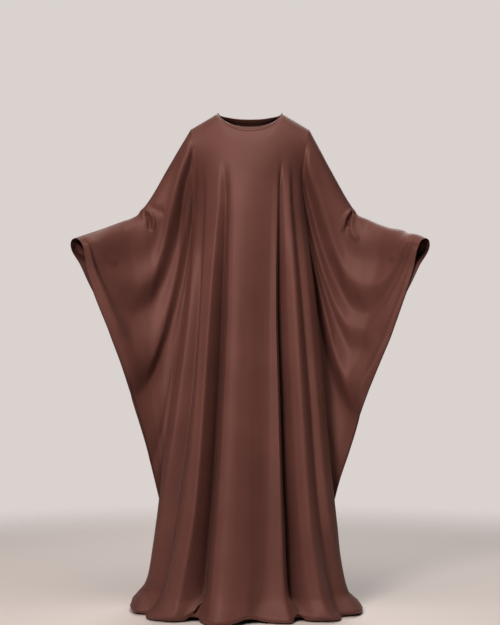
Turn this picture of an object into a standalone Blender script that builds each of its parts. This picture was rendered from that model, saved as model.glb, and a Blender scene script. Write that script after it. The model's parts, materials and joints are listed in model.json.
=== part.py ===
# Butterfly abaya, worn form: an A-line body with a wide folded wing sewn into each side.
# Metres, +Z up, front towards -Y. The origin is the middle of the neck opening, level with
# the high shoulder points, and the floor is 1.455 below it. Left and right are as seen from
# the front, so the left pieces lie at -X.
import bpy
import numpy as np

# Driving sizes
wall = 0.002
seam_gap = 0.0004
layer_half = 0.0023          # from the middle of a doubled wing to its outer face
shoulder_half = 0.174
shoulder_drop = 0.047
neck_half = 0.095
neck_drop = {"front": 0.060, "back": 0.018, "flat": 0.0}
neck_power = 2.4             # 2 is a parabola, more is a flatter neck front
neck_corner = 0.8            # under 1 the neck meets the shoulder steeply
binding_width = 0.011
binding_thickness = 0.003
armhole_end = 0.385          # depth of the armhole's foot below the neck
wing_tip_height = -1.180

# Grid of each piece
wing_columns = 14
half_rows = (-0.240, -0.930)   # between these heights a wing has twice the body's rows
widest_column = 112            # columns are named by angle, and the side seam is this one
neck_column = 55               # the column at the end of the neck opening
bust_columns = (8, 17, 22, 27, 30.5, 34, 39, 44, 49, 55, 61, 68, 77, 87, 98)
row_heights = [
    -0.047, -0.056, -0.075, -0.105, -0.145, -0.190, -0.240, -0.290, -0.340, -0.390, -0.445,
    -0.510, -0.585, -0.665, -0.750, -0.840, -0.930, -1.020, -1.105, -1.180,
    -1.240, -1.300, -1.355, -1.400, -1.432, -1.4505,
]

# Body, down the side seam: height, half width on each side, depth in front and behind,
# and the angle round the section at which the side seam lies
body_columns = ("height", "left", "right", "front", "back", "seam_angle")
body_rows = [
    (-1.4505, 0.350, 0.322, 0.288, 0.288, 92),
    (-1.435, 0.340, 0.311, 0.276, 0.276, 92),
    (-1.393, 0.313, 0.279, 0.250, 0.255, 93),
    (-1.287, 0.283, 0.250, 0.226, 0.230, 101),
    (-1.200, 0.269, 0.240, 0.212, 0.215, 111),
    (-1.139, 0.262, 0.234, 0.203, 0.203, 112),
    (-0.959, 0.245, 0.217, 0.180, 0.172, 112),
    (-0.794, 0.221, 0.206, 0.162, 0.150, 112),
    (-0.558, 0.186, 0.186, 0.142, 0.122, 112),
    (-0.450, 0.175, 0.175, 0.137, 0.116, 108),
    (-0.369, 0.168, 0.168, 0.135, 0.114, 94),
    (-0.280, 0.160, 0.159, 0.135, 0.114, 84),
    (-0.200, 0.156, 0.154, 0.135, 0.114, 74),
    (-0.120, 0.161, 0.160, 0.135, 0.114, 62),
    (-0.047, 0.174, 0.174, 0.135, 0.114, 52),
]

# How quickly the chest and the upper back round away below the shoulder line
round_over = {"front": (0.110, 0.62), "back": (0.090, 0.55)}

# Folds of the body, from left to right: the column each one lies on, its distance from the
# middle at each of the fold heights, how far the cloth stands out there (a valley is
# negative), its sideways lean at the hem, and how sharply it turns from 0 to 1
fold_heights = (-1.4505, -1.36, -1.12, -0.84, -0.55, -0.27)
body_folds = {
    "front": [
        (-87, (-0.315, -0.288, -0.246, -0.201, -0.173, -0.146),
         (0.010, 0.010, 0.011, 0.012, 0.009, 0.003), 0.000, 0.0),
        (-77, (-0.290, -0.268, -0.227, -0.185, -0.158, -0.135),
         (-0.010, -0.012, -0.012, -0.010, -0.007, -0.002), 0.000, 0.3),
        (-61, (-0.224, -0.209, -0.175, -0.151, -0.133, -0.114),
         (0.030, 0.022, 0.016, 0.012, 0.008, 0.003), 0.000, 0.0),
        (-44, (-0.198, -0.186, -0.152, -0.129, -0.111, -0.087),
         (0.026, 0.022, 0.018, 0.016, 0.012, 0.004), 0.000, 0.2),
        (-39, (-0.172, -0.160, -0.130, -0.108, -0.093, -0.078),
         (-0.026, -0.035, -0.030, -0.026, -0.021, -0.007), 0.000, 0.8),
        (-30.5, (-0.113, -0.109, -0.095, -0.079, -0.066, -0.062),
         (0.028, 0.020, 0.016, 0.012, 0.008, 0.003), -0.004, 0.8),
        (-22, (-0.088, -0.078, -0.062, -0.051, -0.045, -0.045),
         (0.036, 0.028, 0.023, 0.018, 0.012, 0.005), -0.002, 0.0),
        (27, (0.017, 0.030, 0.043, 0.049, 0.051, 0.055),
         (-0.024, -0.024, -0.020, -0.015, -0.010, -0.003), 0.000, 0.6),
        (34, (0.081, 0.080, 0.074, 0.066, 0.066, 0.069),
         (0.026, 0.016, 0.008, 0.006, 0.004, 0.002), 0.002, 0.2),
        (39, (0.111, 0.092, 0.085, 0.077, 0.076, 0.078),
         (0.030, 0.024, 0.016, 0.013, 0.010, 0.004), 0.003, 0.9),
        (49, (0.161, 0.140, 0.120, 0.106, 0.098, 0.095),
         (-0.026, -0.035, -0.030, -0.026, -0.021, -0.008), 0.000, 0.8),
        (55, (0.180, 0.165, 0.140, 0.124, 0.112, 0.105),
         (0.022, 0.014, 0.008, 0.004, 0.002, 0.001), 0.000, 0.3),
        (61, (0.192, 0.176, 0.151, 0.135, 0.121, 0.114),
         (0.036, 0.030, 0.024, 0.021, 0.016, 0.006), 0.000, 0.2),
        (68, (0.247, 0.228, 0.190, 0.167, 0.146, 0.124),
         (-0.008, -0.012, -0.012, -0.010, -0.006, -0.001), 0.000, 0.3),
        (77, (0.276, 0.253, 0.210, 0.184, 0.160, 0.135),
         (0.010, 0.010, 0.012, 0.012, 0.010, 0.004), 0.000, 0.0),
    ],
    "back": [
        (-77, (-0.322, -0.278, -0.251, -0.215, -0.169, -0.127),
         (0.018, 0.018, 0.014, 0.009, 0.005, 0.000), 0.000, 0.0),
        (-61, (-0.272, -0.236, -0.218, -0.182, -0.141, -0.107),
         (-0.018, -0.020, -0.017, -0.012, -0.007, 0.000), 0.000, 0.6),
        (-49, (-0.225, -0.199, -0.182, -0.151, -0.115, -0.090),
         (0.030, 0.026, 0.020, 0.014, 0.009, 0.001), 0.000, 0.0),
        (-30.5, (-0.142, -0.127, -0.113, -0.094, -0.073, -0.058),
         (-0.022, -0.028, -0.024, -0.017, -0.011, -0.001), 0.000, 0.8),
        (-8, (-0.060, -0.050, -0.045, -0.037, -0.028, -0.016),
         (0.028, 0.024, 0.020, 0.014, 0.009, 0.001), -0.003, 0.0),
        (17, (0.040, 0.036, 0.034, 0.031, 0.028, 0.032),
         (-0.016, -0.018, -0.015, -0.011, -0.006, 0.000), 0.000, 0.6),
        (34, (0.131, 0.116, 0.106, 0.092, 0.078, 0.064),
         (0.030, 0.028, 0.023, 0.016, 0.010, 0.001), 0.004, 0.0),
        (49, (0.185, 0.164, 0.150, 0.129, 0.108, 0.089),
         (-0.022, -0.028, -0.024, -0.017, -0.011, -0.001), 0.000, 0.8),
        (61, (0.245, 0.209, 0.196, 0.170, 0.145, 0.106),
         (0.024, 0.022, 0.017, 0.011, 0.006, 0.000), 0.000, 0.0),
        (77, (0.300, 0.250, 0.227, 0.198, 0.170, 0.126),
         (-0.008, -0.010, -0.008, -0.006, -0.003, 0.000), 0.000, 0.6),
    ],
}
# Where the hem is lifted off the floor: angle, half width, lift
hem_lifts = {
    "front": [(-31, 5.0, 0.016), (1, 7.0, 0.008), (30, 5.0, 0.016)],
    "back": [(-24, 5.0, 0.014), (34, 5.0, 0.014)],
}

# Line along the top of the arm: share of its length, distance out, depth, height
arm_columns = ("share", "out", "depth", "height")
arm_rows = {
    "left": [
        (0.00, 0.174, 0.000, -0.047),
        (0.20, 0.231, 0.008, -0.143),
        (0.40, 0.296, 0.014, -0.248),
        (0.54, 0.341, 0.006, -0.297),
        (0.70, 0.394, -0.036, -0.326),
        (1.00, 0.497, -0.150, -0.379),
    ],
    "right": [
        (0.00, 0.174, 0.000, -0.047),
        (0.20, 0.223, 0.008, -0.143),
        (0.40, 0.283, 0.014, -0.246),
        (0.54, 0.328, 0.006, -0.294),
        (0.70, 0.388, -0.036, -0.325),
        (1.00, 0.499, -0.150, -0.379),
    ],
}
# Radius that the cloth wraps at the shoulder and at the wrist, and how far down it closes
arm_radius = (0.055, 0.034)
arm_fall = (2.6, 1.7)

# Outer edge of the wing from the cuff to the tip
edge_columns = ("height", "left", "right", "depth")
edge_rows = [
    (-1.180, 0.256, 0.238, -0.004),
    (-1.077, 0.278, 0.262, -0.030),
    (-0.988, 0.297, 0.289, -0.052),
    (-0.899, 0.319, 0.312, -0.070),
    (-0.812, 0.346, 0.343, -0.087),
    (-0.725, 0.374, 0.377, -0.105),
    (-0.653, 0.401, 0.406, -0.115),
    (-0.545, 0.444, 0.444, -0.130),
    (-0.379, 0.497, 0.499, -0.150),
]
slit_share = 0.19            # part of the outer edge that stays open as the cuff
cuff_step = 0.007            # the back of the cuff stands out past its front
wing_lean = 1.7              # how late the wing turns forward on its way out
hang_power = 1.5             # how soon the arm's own depth dies away below it

# Swags of the wing, nested under each other from the shoulder down to the tip: six places
# from the body round to the cuff, as distance out and height, then the rise of its ridge.
# A negative rise is a hollow.
swags = {
    ("left", "front"): [
        (0.206, -0.160, 0.230, -0.320, 0.282, -0.400, 0.360, -0.455, 0.437, -0.418, 0.479, -0.374, 0.012),
        (0.192, -0.210, 0.221, -0.373, 0.264, -0.471, 0.341, -0.528, 0.410, -0.494, 0.468, -0.396, -0.010),
        (0.174, -0.210, 0.203, -0.417, 0.241, -0.564, 0.333, -0.694, 0.421, -0.581, 0.476, -0.417, 0.016),
        (0.162, -0.269, 0.192, -0.440, 0.227, -0.585, 0.276, -0.732, 0.318, -0.802, 0.358, -0.819, -0.015),
        (0.159, -0.337, 0.183, -0.484, 0.206, -0.614, 0.233, -0.761, 0.253, -0.902, 0.264, -1.049, 0.006),
    ],
    ("right", "front"): [
        (0.171, -0.136, 0.215, -0.305, 0.256, -0.376, 0.352, -0.449, 0.426, -0.406, 0.479, -0.366, 0.012),
        (0.177, -0.225, 0.218, -0.402, 0.264, -0.503, 0.324, -0.551, 0.404, -0.477, 0.474, -0.388, -0.009),
        (0.159, -0.225, 0.189, -0.399, 0.230, -0.591, 0.304, -0.752, 0.371, -0.653, 0.453, -0.467, 0.016),
        (0.153, -0.269, 0.183, -0.476, 0.215, -0.661, 0.250, -0.791, 0.290, -0.867, 0.338, -0.877, -0.015),
        (0.153, -0.299, 0.174, -0.440, 0.192, -0.614, 0.206, -0.788, 0.224, -0.932, 0.238, -1.064, 0.006),
    ],
    ("left", "back"): [
        (0.200, -0.150, 0.226, -0.300, 0.276, -0.385, 0.350, -0.440, 0.430, -0.410, 0.479, -0.370, 0.012),
        (0.188, -0.200, 0.220, -0.370, 0.262, -0.460, 0.335, -0.520, 0.405, -0.480, 0.468, -0.390, -0.010),
        (0.176, -0.220, 0.208, -0.430, 0.250, -0.570, 0.325, -0.660, 0.400, -0.570, 0.470, -0.420, 0.014),
        (0.164, -0.269, 0.190, -0.450, 0.225, -0.600, 0.270, -0.730, 0.310, -0.800, 0.350, -0.830, -0.014),
    ],
    ("right", "back"): [
        (0.180, -0.150, 0.216, -0.300, 0.262, -0.380, 0.345, -0.445, 0.425, -0.405, 0.479, -0.366, 0.012),
        (0.180, -0.215, 0.216, -0.390, 0.262, -0.480, 0.330, -0.540, 0.405, -0.480, 0.472, -0.388, -0.010),
        (0.170, -0.230, 0.200, -0.420, 0.240, -0.570, 0.310, -0.690, 0.385, -0.620, 0.460, -0.450, 0.014),
        (0.158, -0.269, 0.186, -0.460, 0.220, -0.630, 0.262, -0.760, 0.300, -0.830, 0.340, -0.860, -0.014),
    ],
}
swag_taper = 0.14            # share of a swag's length over which each end dies away
swag_fade = 0.045            # how far the first and the last swag reach past their lines
edge_roll = (0.030, 0.014, 0.006)
pocket_parting = 0.008       # how far the wing's two layers part between its edges

# Distances over which one form passes into the next, as the height where it starts and the
# length of the passage, or the length alone
shoulder_fade = 0.36         # the slope of the shoulder, below the shoulder point
drift_passage = (-0.20, 0.10)
fold_passage = (-0.15, 0.12)
hem_passage = (-1.30, 0.15)
seam_passage = (-0.30, 0.08)
seam_spread = 0.0026         # the wing's seam stands this much further out below the armhole
body_share = 0.18            # inner part of a wing's width that takes the armhole's shape
layer_passage = 0.008        # below the top of the arm, until the layers are layer_half apart
pocket_passage = 0.10
pocket_tip = 0.25
rise_passage = 0.03
roll_passage = 0.25
tip_passage = (0.04, 0.24)   # above the tip, where the swags fade in
swag_margins = (0.13, 0.06)  # shares of the wing's width without swags, inner and outer
own_rise = (0.004, 0.020)    # half thickness from which the back has swags of its own
edge_width = (0.30, 1.2)     # a wing's width in metres at its top, and the drop to its tip
reach_step = 0.001           # step used to measure slopes
line_steps = 161             # points along a swag between which distances are measured
widest_mitre = 0.62          # least cosine between a seam's shared wall and either panel

colour = (0.153, 0.062, 0.050, 1.0)
binding_colour = (0.130, 0.052, 0.042, 1.0)


def smooth_step(value):
    t = np.clip(value, 0.0, 1.0)
    return t * t * (3.0 - 2.0 * t)


def passage(level, heights):
    """From 0 at a height to 1 at a length below it."""
    return smooth_step((heights[0] - level) / heights[1])


def bump(distance, width):
    return np.exp(-((distance / width) ** 2))


def curve_through(keys, values, at):
    """Smooth curve through the points, which never overshoots them."""
    keys = np.asarray(keys, float)
    values = np.asarray(values, float)
    gaps = np.diff(keys)
    slopes = np.diff(values) / gaps
    same_way = slopes[:-1] * slopes[1:] > 0
    total = slopes[:-1] + slopes[1:]
    middle = np.where(same_way, 2 * slopes[:-1] * slopes[1:] / np.where(same_way, total, 1.0), 0.0)
    tangents = np.concatenate([slopes[:1], middle, slopes[-1:]])
    at = np.clip(at, keys[0], keys[-1])
    cell = np.clip(np.searchsorted(keys, at) - 1, 0, len(gaps) - 1)
    width = gaps[cell]
    t = (at - keys[cell]) / width
    start = (1 + 2 * t) * (1 - t) ** 2 * values[cell] + t * (1 - t) ** 2 * width * tangents[cell]
    end = t * t * (3 - 2 * t) * values[cell + 1] - t * t * (1 - t) * width * tangents[cell + 1]
    return start + end


def read(rows, columns, name, at):
    """A named column of a table, at heights or shares given by its first column."""
    place = columns.index(name)
    return curve_through([row[0] for row in rows], [row[place] for row in rows], at)


def body_value(name, level):
    return read(body_rows, body_columns, name, level)


def wrap(drop, radius, fall):
    """Half width of a sleeve at a drop below its top: round above, closing like a bell."""
    q = drop / radius
    rise = np.sqrt(np.clip(1 - (1 - np.minimum(q, 1)) ** 2, 0, 1))
    return radius * rise * np.exp(-((np.maximum(q - 1, 0) / fall) ** 2))


def armhole(level):
    return wrap(-shoulder_drop - level, arm_radius[0], arm_fall[0])


def half_width(u, level):
    return np.where(u < 0, body_value("left", level), body_value("right", level))


def top_edge(face, x):
    """Height of the body's top edge: the neck curve, then the slope of the shoulder."""
    x = np.abs(x)
    slope = shoulder_drop / (shoulder_half - neck_half)
    neck = -neck_drop[face] * (1 - np.minimum(x / neck_half, 1) ** neck_power) ** neck_corner
    return np.where(x < neck_half, neck, -(x - neck_half) * slope)


def fold_keys(face):
    """The columns of the folds as shares of the half width, with the two side seams."""
    return [-1.0] + [fold[0] / widest_column for fold in body_folds[face]] + [1.0]


def between_folds(face, u, values, sharpness=None):
    """Blends values that are given on each fold and both seams across the columns."""
    keys = fold_keys(face)
    blended = u * 0.0
    for k in range(len(keys) - 1):
        t = np.clip((u - keys[k]) / (keys[k + 1] - keys[k]), 0, 1)
        if sharpness:
            t = fold_wave(t, sharpness[k], sharpness[k + 1])
        inside = (u >= keys[k]) & (u <= keys[k + 1])
        blended = np.where(inside, values[k] + (values[k + 1] - values[k]) * t, blended)
    return blended


def fold_wave(t, leaving, meeting):
    """Half wave from 0 to 1: soft at an end whose sharpness is 0, straight where it is 1."""
    soft = smooth_step(t)
    steep_start = np.sin(np.pi / 2 * t)
    steep_end = 1 - np.cos(np.pi / 2 * t)
    wave = soft * (1 - leaving) * (1 - meeting) + t * leaving * meeting
    return wave + steep_start * leaving * (1 - meeting) + steep_end * (1 - leaving) * meeting


def fold_drift(face, u, level):
    """Share of the seam angle at which a column lies: columns follow the folds' lines."""
    seam_angle = np.radians(body_value("seam_angle", level))
    reach = np.sin(np.minimum(seam_angle, np.pi / 2))
    drift = [0.0 * u]
    for column, places, _, _, _ in body_folds[face]:
        side = "left" if column < 0 else "right"
        sine = curve_through(fold_heights, places, level) / body_value(side, level) * reach
        share = np.arcsin(np.clip(sine, -0.99, 0.99)) / seam_angle
        drift.append(share - column / widest_column)
    drift.append(0.0 * u)
    return u + between_folds(face, u, drift) * passage(level, drift_passage)


def body_form(face, share, level):
    """The body before its folds: an oval ring that starts at the shoulder and neck line."""
    front = -1.0 if face == "front" else 1.0
    seam_angle = np.radians(body_value("seam_angle", level))
    angle = seam_angle * share
    reach = np.sin(np.minimum(seam_angle, np.pi / 2))
    x = half_width(share, level) * np.sin(angle) / reach
    upper = 1 - smooth_step((-shoulder_drop - level) / shoulder_fade)
    x_top = shoulder_half * np.sin(np.radians(body_rows[-1][5]) * share)
    x_top = x_top / np.sin(np.radians(body_rows[-1][5]))
    z = level + (top_edge(face, x_top) + shoulder_drop) * upper
    ridge = np.minimum(top_edge("flat", x_top), 0)
    below = np.clip(ridge - z, 0, None)
    scale, power = round_over[face]
    depth = body_value(face, level) * (1 - np.exp(-below / scale)) ** power
    edge = np.hypot(armhole(level), seam_gap / 2)
    forward = (np.cos(angle) - np.cos(seam_angle)) / (1 - np.cos(seam_angle))
    y = edge + (np.maximum(depth, edge) - edge) * forward
    for place, width, lift in hem_lifts[face]:
        foot = passage(level, hem_passage)
        z = z + lift * foot * bump(np.degrees(angle) - place, width)
    return np.stack([x, front * y, z], -1)


def surface_normal(surface, a, b, step_a, step_b, flip):
    """Unit normal of a surface, from its slopes along both of its directions."""
    along = surface(a + step_a, b) - surface(a - step_a, b)
    down = surface(a, b + step_b) - surface(a, b - step_b)
    normal = np.cross(along, down) * flip
    length = np.linalg.norm(normal, axis=-1, keepdims=True)
    return normal / np.maximum(length, 1e-12)


def body_surface(face, u, level):
    """The body's outer face with its folds, which fade out towards the side seams."""
    u = np.clip(u, -1, 1)
    level = np.clip(level, row_heights[-1], row_heights[0])
    flip = 1.0 if face == "front" else -1.0
    share = fold_drift(face, u, level)
    normal = surface_normal(
        lambda a, b: body_form(face, a, b),
        np.clip(share, reach_step - 1, 1 - reach_step),
        np.clip(level, row_heights[-1] + reach_step, row_heights[0] - reach_step),
        reach_step, reach_step, flip,
    )
    form = body_form(face, share, level)
    normal[..., 2] = 0
    normal = normal / np.linalg.norm(normal, axis=-1, keepdims=True)
    sideways = np.cross(normal, np.array([0.0, 0.0, 1.0])) * -1.0
    started = passage(level, fold_passage)
    down = np.clip((fold_passage[0] - level) / (fold_passage[0] - row_heights[-1]), 0, 1)
    rises = [0.0 * u]
    leans = [0.0 * u]
    sharpness = [0.0]
    for _, _, heights, lean, sharp in body_folds[face]:
        rises.append(curve_through(fold_heights, heights, level) * started)
        leans.append(lean * down)
        sharpness.append(sharp)
    rise = between_folds(face, u, rises + [0.0 * u], sharpness + [0.0])[..., None]
    shift = between_folds(face, u, leans + [0.0 * u], sharpness + [0.0])[..., None]
    return form + normal * rise + sideways * shift * flip


def seam_line(side, level):
    """Distance out of the side seam."""
    turn = np.radians(body_value("seam_angle", level))
    return body_value(side, level) * np.sin(turn) / np.sin(np.minimum(turn, np.pi / 2))


def wing_middle(side, face, out, level):
    """Middle surface of a wing: out runs from the seam to the outer edge, level down it."""
    top = row_heights[0]
    share = (top - level) / (top - wing_tip_height)
    seam_step = seam_gap + seam_spread * passage(level, seam_passage)
    arm = arm_rows[side]
    edge_z = edge_rows[-1][0] + share * (edge_rows[0][0] - edge_rows[-1][0])
    slit = np.clip(share / slit_share, 0, 1)
    step = cuff_step * np.sin(np.pi * slit) * np.where(slit < 1, 1, 0)
    step = step * (-1.0 if face == "front" else 1.0)
    in_x = seam_line(side, level) + seam_step
    out_x = read(edge_rows, edge_columns, side, edge_z) + step
    line_x = shoulder_half + out * (arm[-1][1] - shoulder_half)
    line_z = top + out * (arm[-1][3] - top)
    hang = 1 - share
    x = in_x + out * (out_x - in_x) + (read(arm, arm_columns, "out", out) - line_x) * hang
    z = level + out * (edge_z - level) + (read(arm, arm_columns, "height", out) - line_z) * hang
    lean = out ** wing_lean
    edge_y = read(edge_rows, edge_columns, "depth", edge_z)
    arm_y = read(arm, arm_columns, "depth", out) - arm[-1][2] * lean
    y = edge_y * lean + arm_y * hang ** hang_power
    return np.stack([x, y, z], -1)


def near_line(x, z, places):
    """Distance to a smooth line through the places, positive below it, and the share there."""
    places = np.reshape(places, (-1, 2))
    steps = np.linalg.norm(np.diff(places, axis=0), axis=1)
    keys = np.concatenate([[0.0], np.cumsum(steps)]) / np.sum(steps)
    share = np.linspace(0, 1, line_steps)
    line_x = curve_through(keys, places[:, 0], share)
    line_z = curve_through(keys, places[:, 1], share)
    near = np.hypot(x[..., None] - line_x, z[..., None] - line_z).argmin(axis=-1)
    run_x = np.gradient(line_x)
    run_z = np.gradient(line_z)
    step = np.hypot(run_x, run_z)
    away_x = x - line_x[near]
    away_z = z - line_z[near]
    along = (run_x[near] * away_x + run_z[near] * away_z) / step[near]
    aside = (run_z[near] * away_x - run_x[near] * away_z) / step[near]
    past = np.maximum(np.abs(along) - step[near], 0)
    away = np.hypot(aside, past) * np.where(aside < 0, -1.0, 1.0)
    return away, np.clip(share[near] + along / np.sum(steps), 0, 1)


def swag_height(side, face, point, out, level):
    """Rise of a wing: a half wave from each nested swag to the next, and the edge's roll."""
    below = []
    heights = []
    for swag in swags[(side, face)]:
        away, share = near_line(point[..., 0], point[..., 2], swag[:-1])
        ends = smooth_step(share / swag_taper) * smooth_step((1 - share) / swag_taper)
        below.append(away)
        heights.append(swag[-1] * ends)
    rise = heights[0] * bump(below[0], swag_fade)
    for k in range(len(below) - 1):
        part = below[k] / np.maximum(below[k] - below[k + 1], 1e-6)
        between = heights[k] + (heights[k + 1] - heights[k]) * smooth_step(part)
        rise = np.where(below[k] > 0, between, rise)
    rise = np.where(below[-1] > 0, heights[-1] * bump(below[-1], swag_fade), rise)
    drop = row_heights[0] - level
    place, width, height = edge_roll
    from_edge = (1 - out) * edge_width[0] * (1 - drop / edge_width[1])
    rise = rise + height * bump(from_edge - place, width) * smooth_step(drop / roll_passage)
    near_tip = smooth_step((level - wing_tip_height - tip_passage[0]) / tip_passage[1])
    inside = smooth_step(out / swag_margins[0]) * smooth_step((1 - out) / swag_margins[1])
    return rise * near_tip * inside


def wing_surface(side, face, out, level):
    """Outer face of a wing: its middle surface, moved out by half the sleeve or pocket."""
    out = np.clip(out, 0, 1)
    level = np.clip(level, wing_tip_height, row_heights[0])
    normal = surface_normal(
        lambda a, b: wing_middle(side, face, a, b),
        np.clip(out, reach_step, 1 - reach_step),
        np.clip(level, wing_tip_height + reach_step, row_heights[0] - reach_step),
        reach_step, reach_step, 1.0,
    )
    middle = wing_middle(side, face, out, level)
    arm = arm_rows[side]
    ridge_z = read(arm, arm_columns, "height", out)
    drop = np.maximum(ridge_z - middle[..., 2], 0)
    radius = arm_radius[0] + (arm_radius[1] - arm_radius[0]) * out
    fall = arm_fall[0] + (arm_fall[1] - arm_fall[0]) * np.sqrt(out)
    sleeve = wrap(drop, radius, fall)
    near_body = 1 - smooth_step(out / body_share)
    sleeve = sleeve + (armhole(level) - sleeve) * near_body
    least = seam_gap / 2 + (layer_half - seam_gap / 2) * smooth_step(drop / layer_passage)
    pocket = pocket_parting * (4 * out * (1 - out)) * smooth_step(drop / pocket_passage)
    pocket = pocket * smooth_step((level - wing_tip_height) / pocket_tip)
    half = np.hypot(sleeve, least) + pocket
    rise = swag_height(side, face, middle, out, level)
    forward = np.array([0.0, -1.0, 0.0])
    normal = normal * np.where(normal[..., 1:2] < 0, 1.0, -1.0)
    normal = normal + (forward - normal) * near_body[..., None]
    normal = normal / np.linalg.norm(normal, axis=-1, keepdims=True)
    if face == "back":
        own = smooth_step((half - own_rise[0]) / own_rise[1])
        rise = rise * own - swag_height(side, "front", middle, out, level) * (1 - own)
        normal = -normal
    point = middle + normal * (half + rise * smooth_step(drop / rise_passage))[..., None]
    if side == "left":
        point = point * np.array([-1.0, 1.0, 1.0])
    return point


def body_grid(face):
    """Grid points of a body panel and its wall normals: a column on each fold and between."""
    half = [neck_share() if angle == neck_column else angle / widest_column for angle in bust_columns]
    half = np.array([0.0] + half + [1.0])
    u = np.concatenate([-half[:0:-1], half])
    u, level = np.meshgrid(u, np.array(row_heights), indexing="ij")
    return grid_and_normals(lambda a, b: body_surface(face, a, b), u, level, face)


def neck_share():
    """Share of the panel's half width at which the neck meets the shoulder."""
    top = np.radians(body_rows[-1][5])
    return float(np.arcsin(neck_half / shoulder_half * np.sin(top)) / top)


def wing_levels():
    """Heights of a wing's rows, and which of them lie halfway between two body rows."""
    levels = []
    halfway = []
    for above, below in zip(row_heights[:-1], row_heights[1:]):
        if above < wing_tip_height + 1e-6:
            break
        levels.append(above)
        if half_rows[1] - 1e-6 <= below and above <= half_rows[0] + 1e-6:
            halfway.append(len(levels))
            levels.append((above + below) / 2)
    return np.array(levels + [wing_tip_height]), halfway


def wing_grid(side, face):
    """Grid points and wall normals of a wing, whose seam runs straight between body rows."""
    levels, halfway = wing_levels()
    out, level = np.meshgrid(np.linspace(0, 1, wing_columns + 1), levels, indexing="ij")
    points, normals = grid_and_normals(
        lambda a, b: wing_surface(side, face, a, b), out, level, face
    )
    for row in halfway:
        points[0, row] = (points[0, row - 1] + points[0, row + 1]) / 2
    return points, normals, halfway


def grid_and_normals(surface, a, b, face):
    points = surface(a, b)
    step = 2 * reach_step
    inside_a = np.clip(a, a.min() + step, a.max() - step)
    inside_b = np.clip(b, b.min() + reach_step, b.max() - 1.5 * reach_step)
    normals = surface_normal(surface, inside_a, inside_b, step, reach_step, 1.0)
    outward = -1.0 if face == "front" else 1.0
    middle = normals[normals.shape[0] // 2, normals.shape[1] // 2, 1]
    if middle * outward < 0:
        normals = -normals
    return points, normals


def mitre(first, second):
    """Shared direction of two walls at a seam, longer where they meet at an angle."""
    both = first + second
    both = both / np.linalg.norm(both, axis=-1, keepdims=True)
    lean = np.sum(both * first, axis=-1, keepdims=True)
    return both / np.clip(lean, widest_mitre, 1.0)


def panel(name, points, normals, material):
    """A closed wall: the outer grid, the same grid moved in, and a rim joining them."""
    columns, rows = points.shape[:2]
    inner = points - normals * wall
    vertices = np.concatenate([points.reshape(-1, 3), inner.reshape(-1, 3)])
    count = columns * rows
    index = np.arange(count).reshape(columns, rows)
    a, b, c, d = index[:-1, :-1], index[1:, :-1], index[1:, 1:], index[:-1, 1:]
    halves = [np.stack([part.ravel() for part in trio], -1) for trio in ((a, b, c), (a, c, d))]
    outer = np.concatenate(halves)
    rim = np.concatenate([index[:, 0], index[-1, 1:], index[-2::-1, -1], index[0, -2:0:-1]])
    after = np.roll(rim, -1)
    sides = [np.stack([rim, rim + count, after + count], -1)]
    sides.append(np.stack([rim, after + count, after], -1))
    faces = np.concatenate([outer, (outer + count)[:, ::-1]] + sides)
    first = vertices[faces[0]]
    facing = np.cross(first[1] - first[0], first[2] - first[0])
    if np.dot(facing, normals[0, 0]) < 0:
        faces = faces[:, ::-1]
    make_object(name, vertices, faces, material)


def make_object(name, vertices, faces, material):
    mesh = bpy.data.meshes.new(name)
    mesh.from_pydata([tuple(v) for v in vertices.tolist()], [], faces.tolist())
    mesh.validate()
    mesh.materials.append(material)
    mesh.shade_smooth()
    thing = bpy.data.objects.new(name, mesh)
    bpy.context.scene.collection.objects.link(thing)


def cloth_material(name, shade):
    material = bpy.data.materials.new(name)
    material.use_nodes = True
    shader = material.node_tree.nodes["Principled BSDF"]
    shader.inputs["Base Color"].default_value = shade
    shader.inputs["Roughness"].default_value = 0.55
    shader.inputs["Metallic"].default_value = 0.0
    return material


def join_body(grids):
    """Shared wall directions where the body panels meet at the shoulders and side seams."""
    front, front_normals = grids["front"]
    back, back_normals = grids["back"]
    shoulder = mitre(front_normals[:, 0], back_normals[:, 0])
    over_arm = np.abs(front[:, 0, 0]) >= neck_half - 1e-6
    for normals in (front_normals, back_normals):
        normals[over_arm, 0] = shoulder[over_arm]
    for column in (0, -1):
        closed = front[column, :, 2] < -armhole_end
        side = mitre(front_normals[column], back_normals[column])
        for normals in (front_normals, back_normals):
            normals[column, closed] = side[closed]


def part_shoulders(grids):
    """Opens the shoulder seams by half a seam gap on each side."""
    for face, toward in (("front", -1.0), ("back", 1.0)):
        points = grids[face][0]
        over_arm = np.abs(points[:, 0, 0]) >= neck_half - 1e-6
        points[over_arm, 0, 1] = toward * seam_gap / 2


def join_wing(body, wing, side, face):
    """Shared wall directions of body and wing down the armhole."""
    column = 0 if side == "left" else -1
    points, normals, halfway = wing
    shared_rows = [row for row in range(points.shape[1]) if row not in halfway]
    for body_row, wing_row in enumerate(shared_rows):
        if body[0][column, body_row, 2] >= -armhole_end:
            shared = mitre(body[1][column, body_row], normals[0, wing_row])
            body[1][column, body_row] = shared
            normals[0, wing_row] = shared
    for row in halfway:
        normals[0, row] = (normals[0, row - 1] + normals[0, row + 1]) / 2


def join_over_arm(front, back):
    """Shared wall directions and the seam gap along the top of the arm."""
    shared = mitre(front[1][:, 0], back[1][:, 0])
    front[1][:, 0] = shared
    back[1][:, 0] = shared


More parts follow.
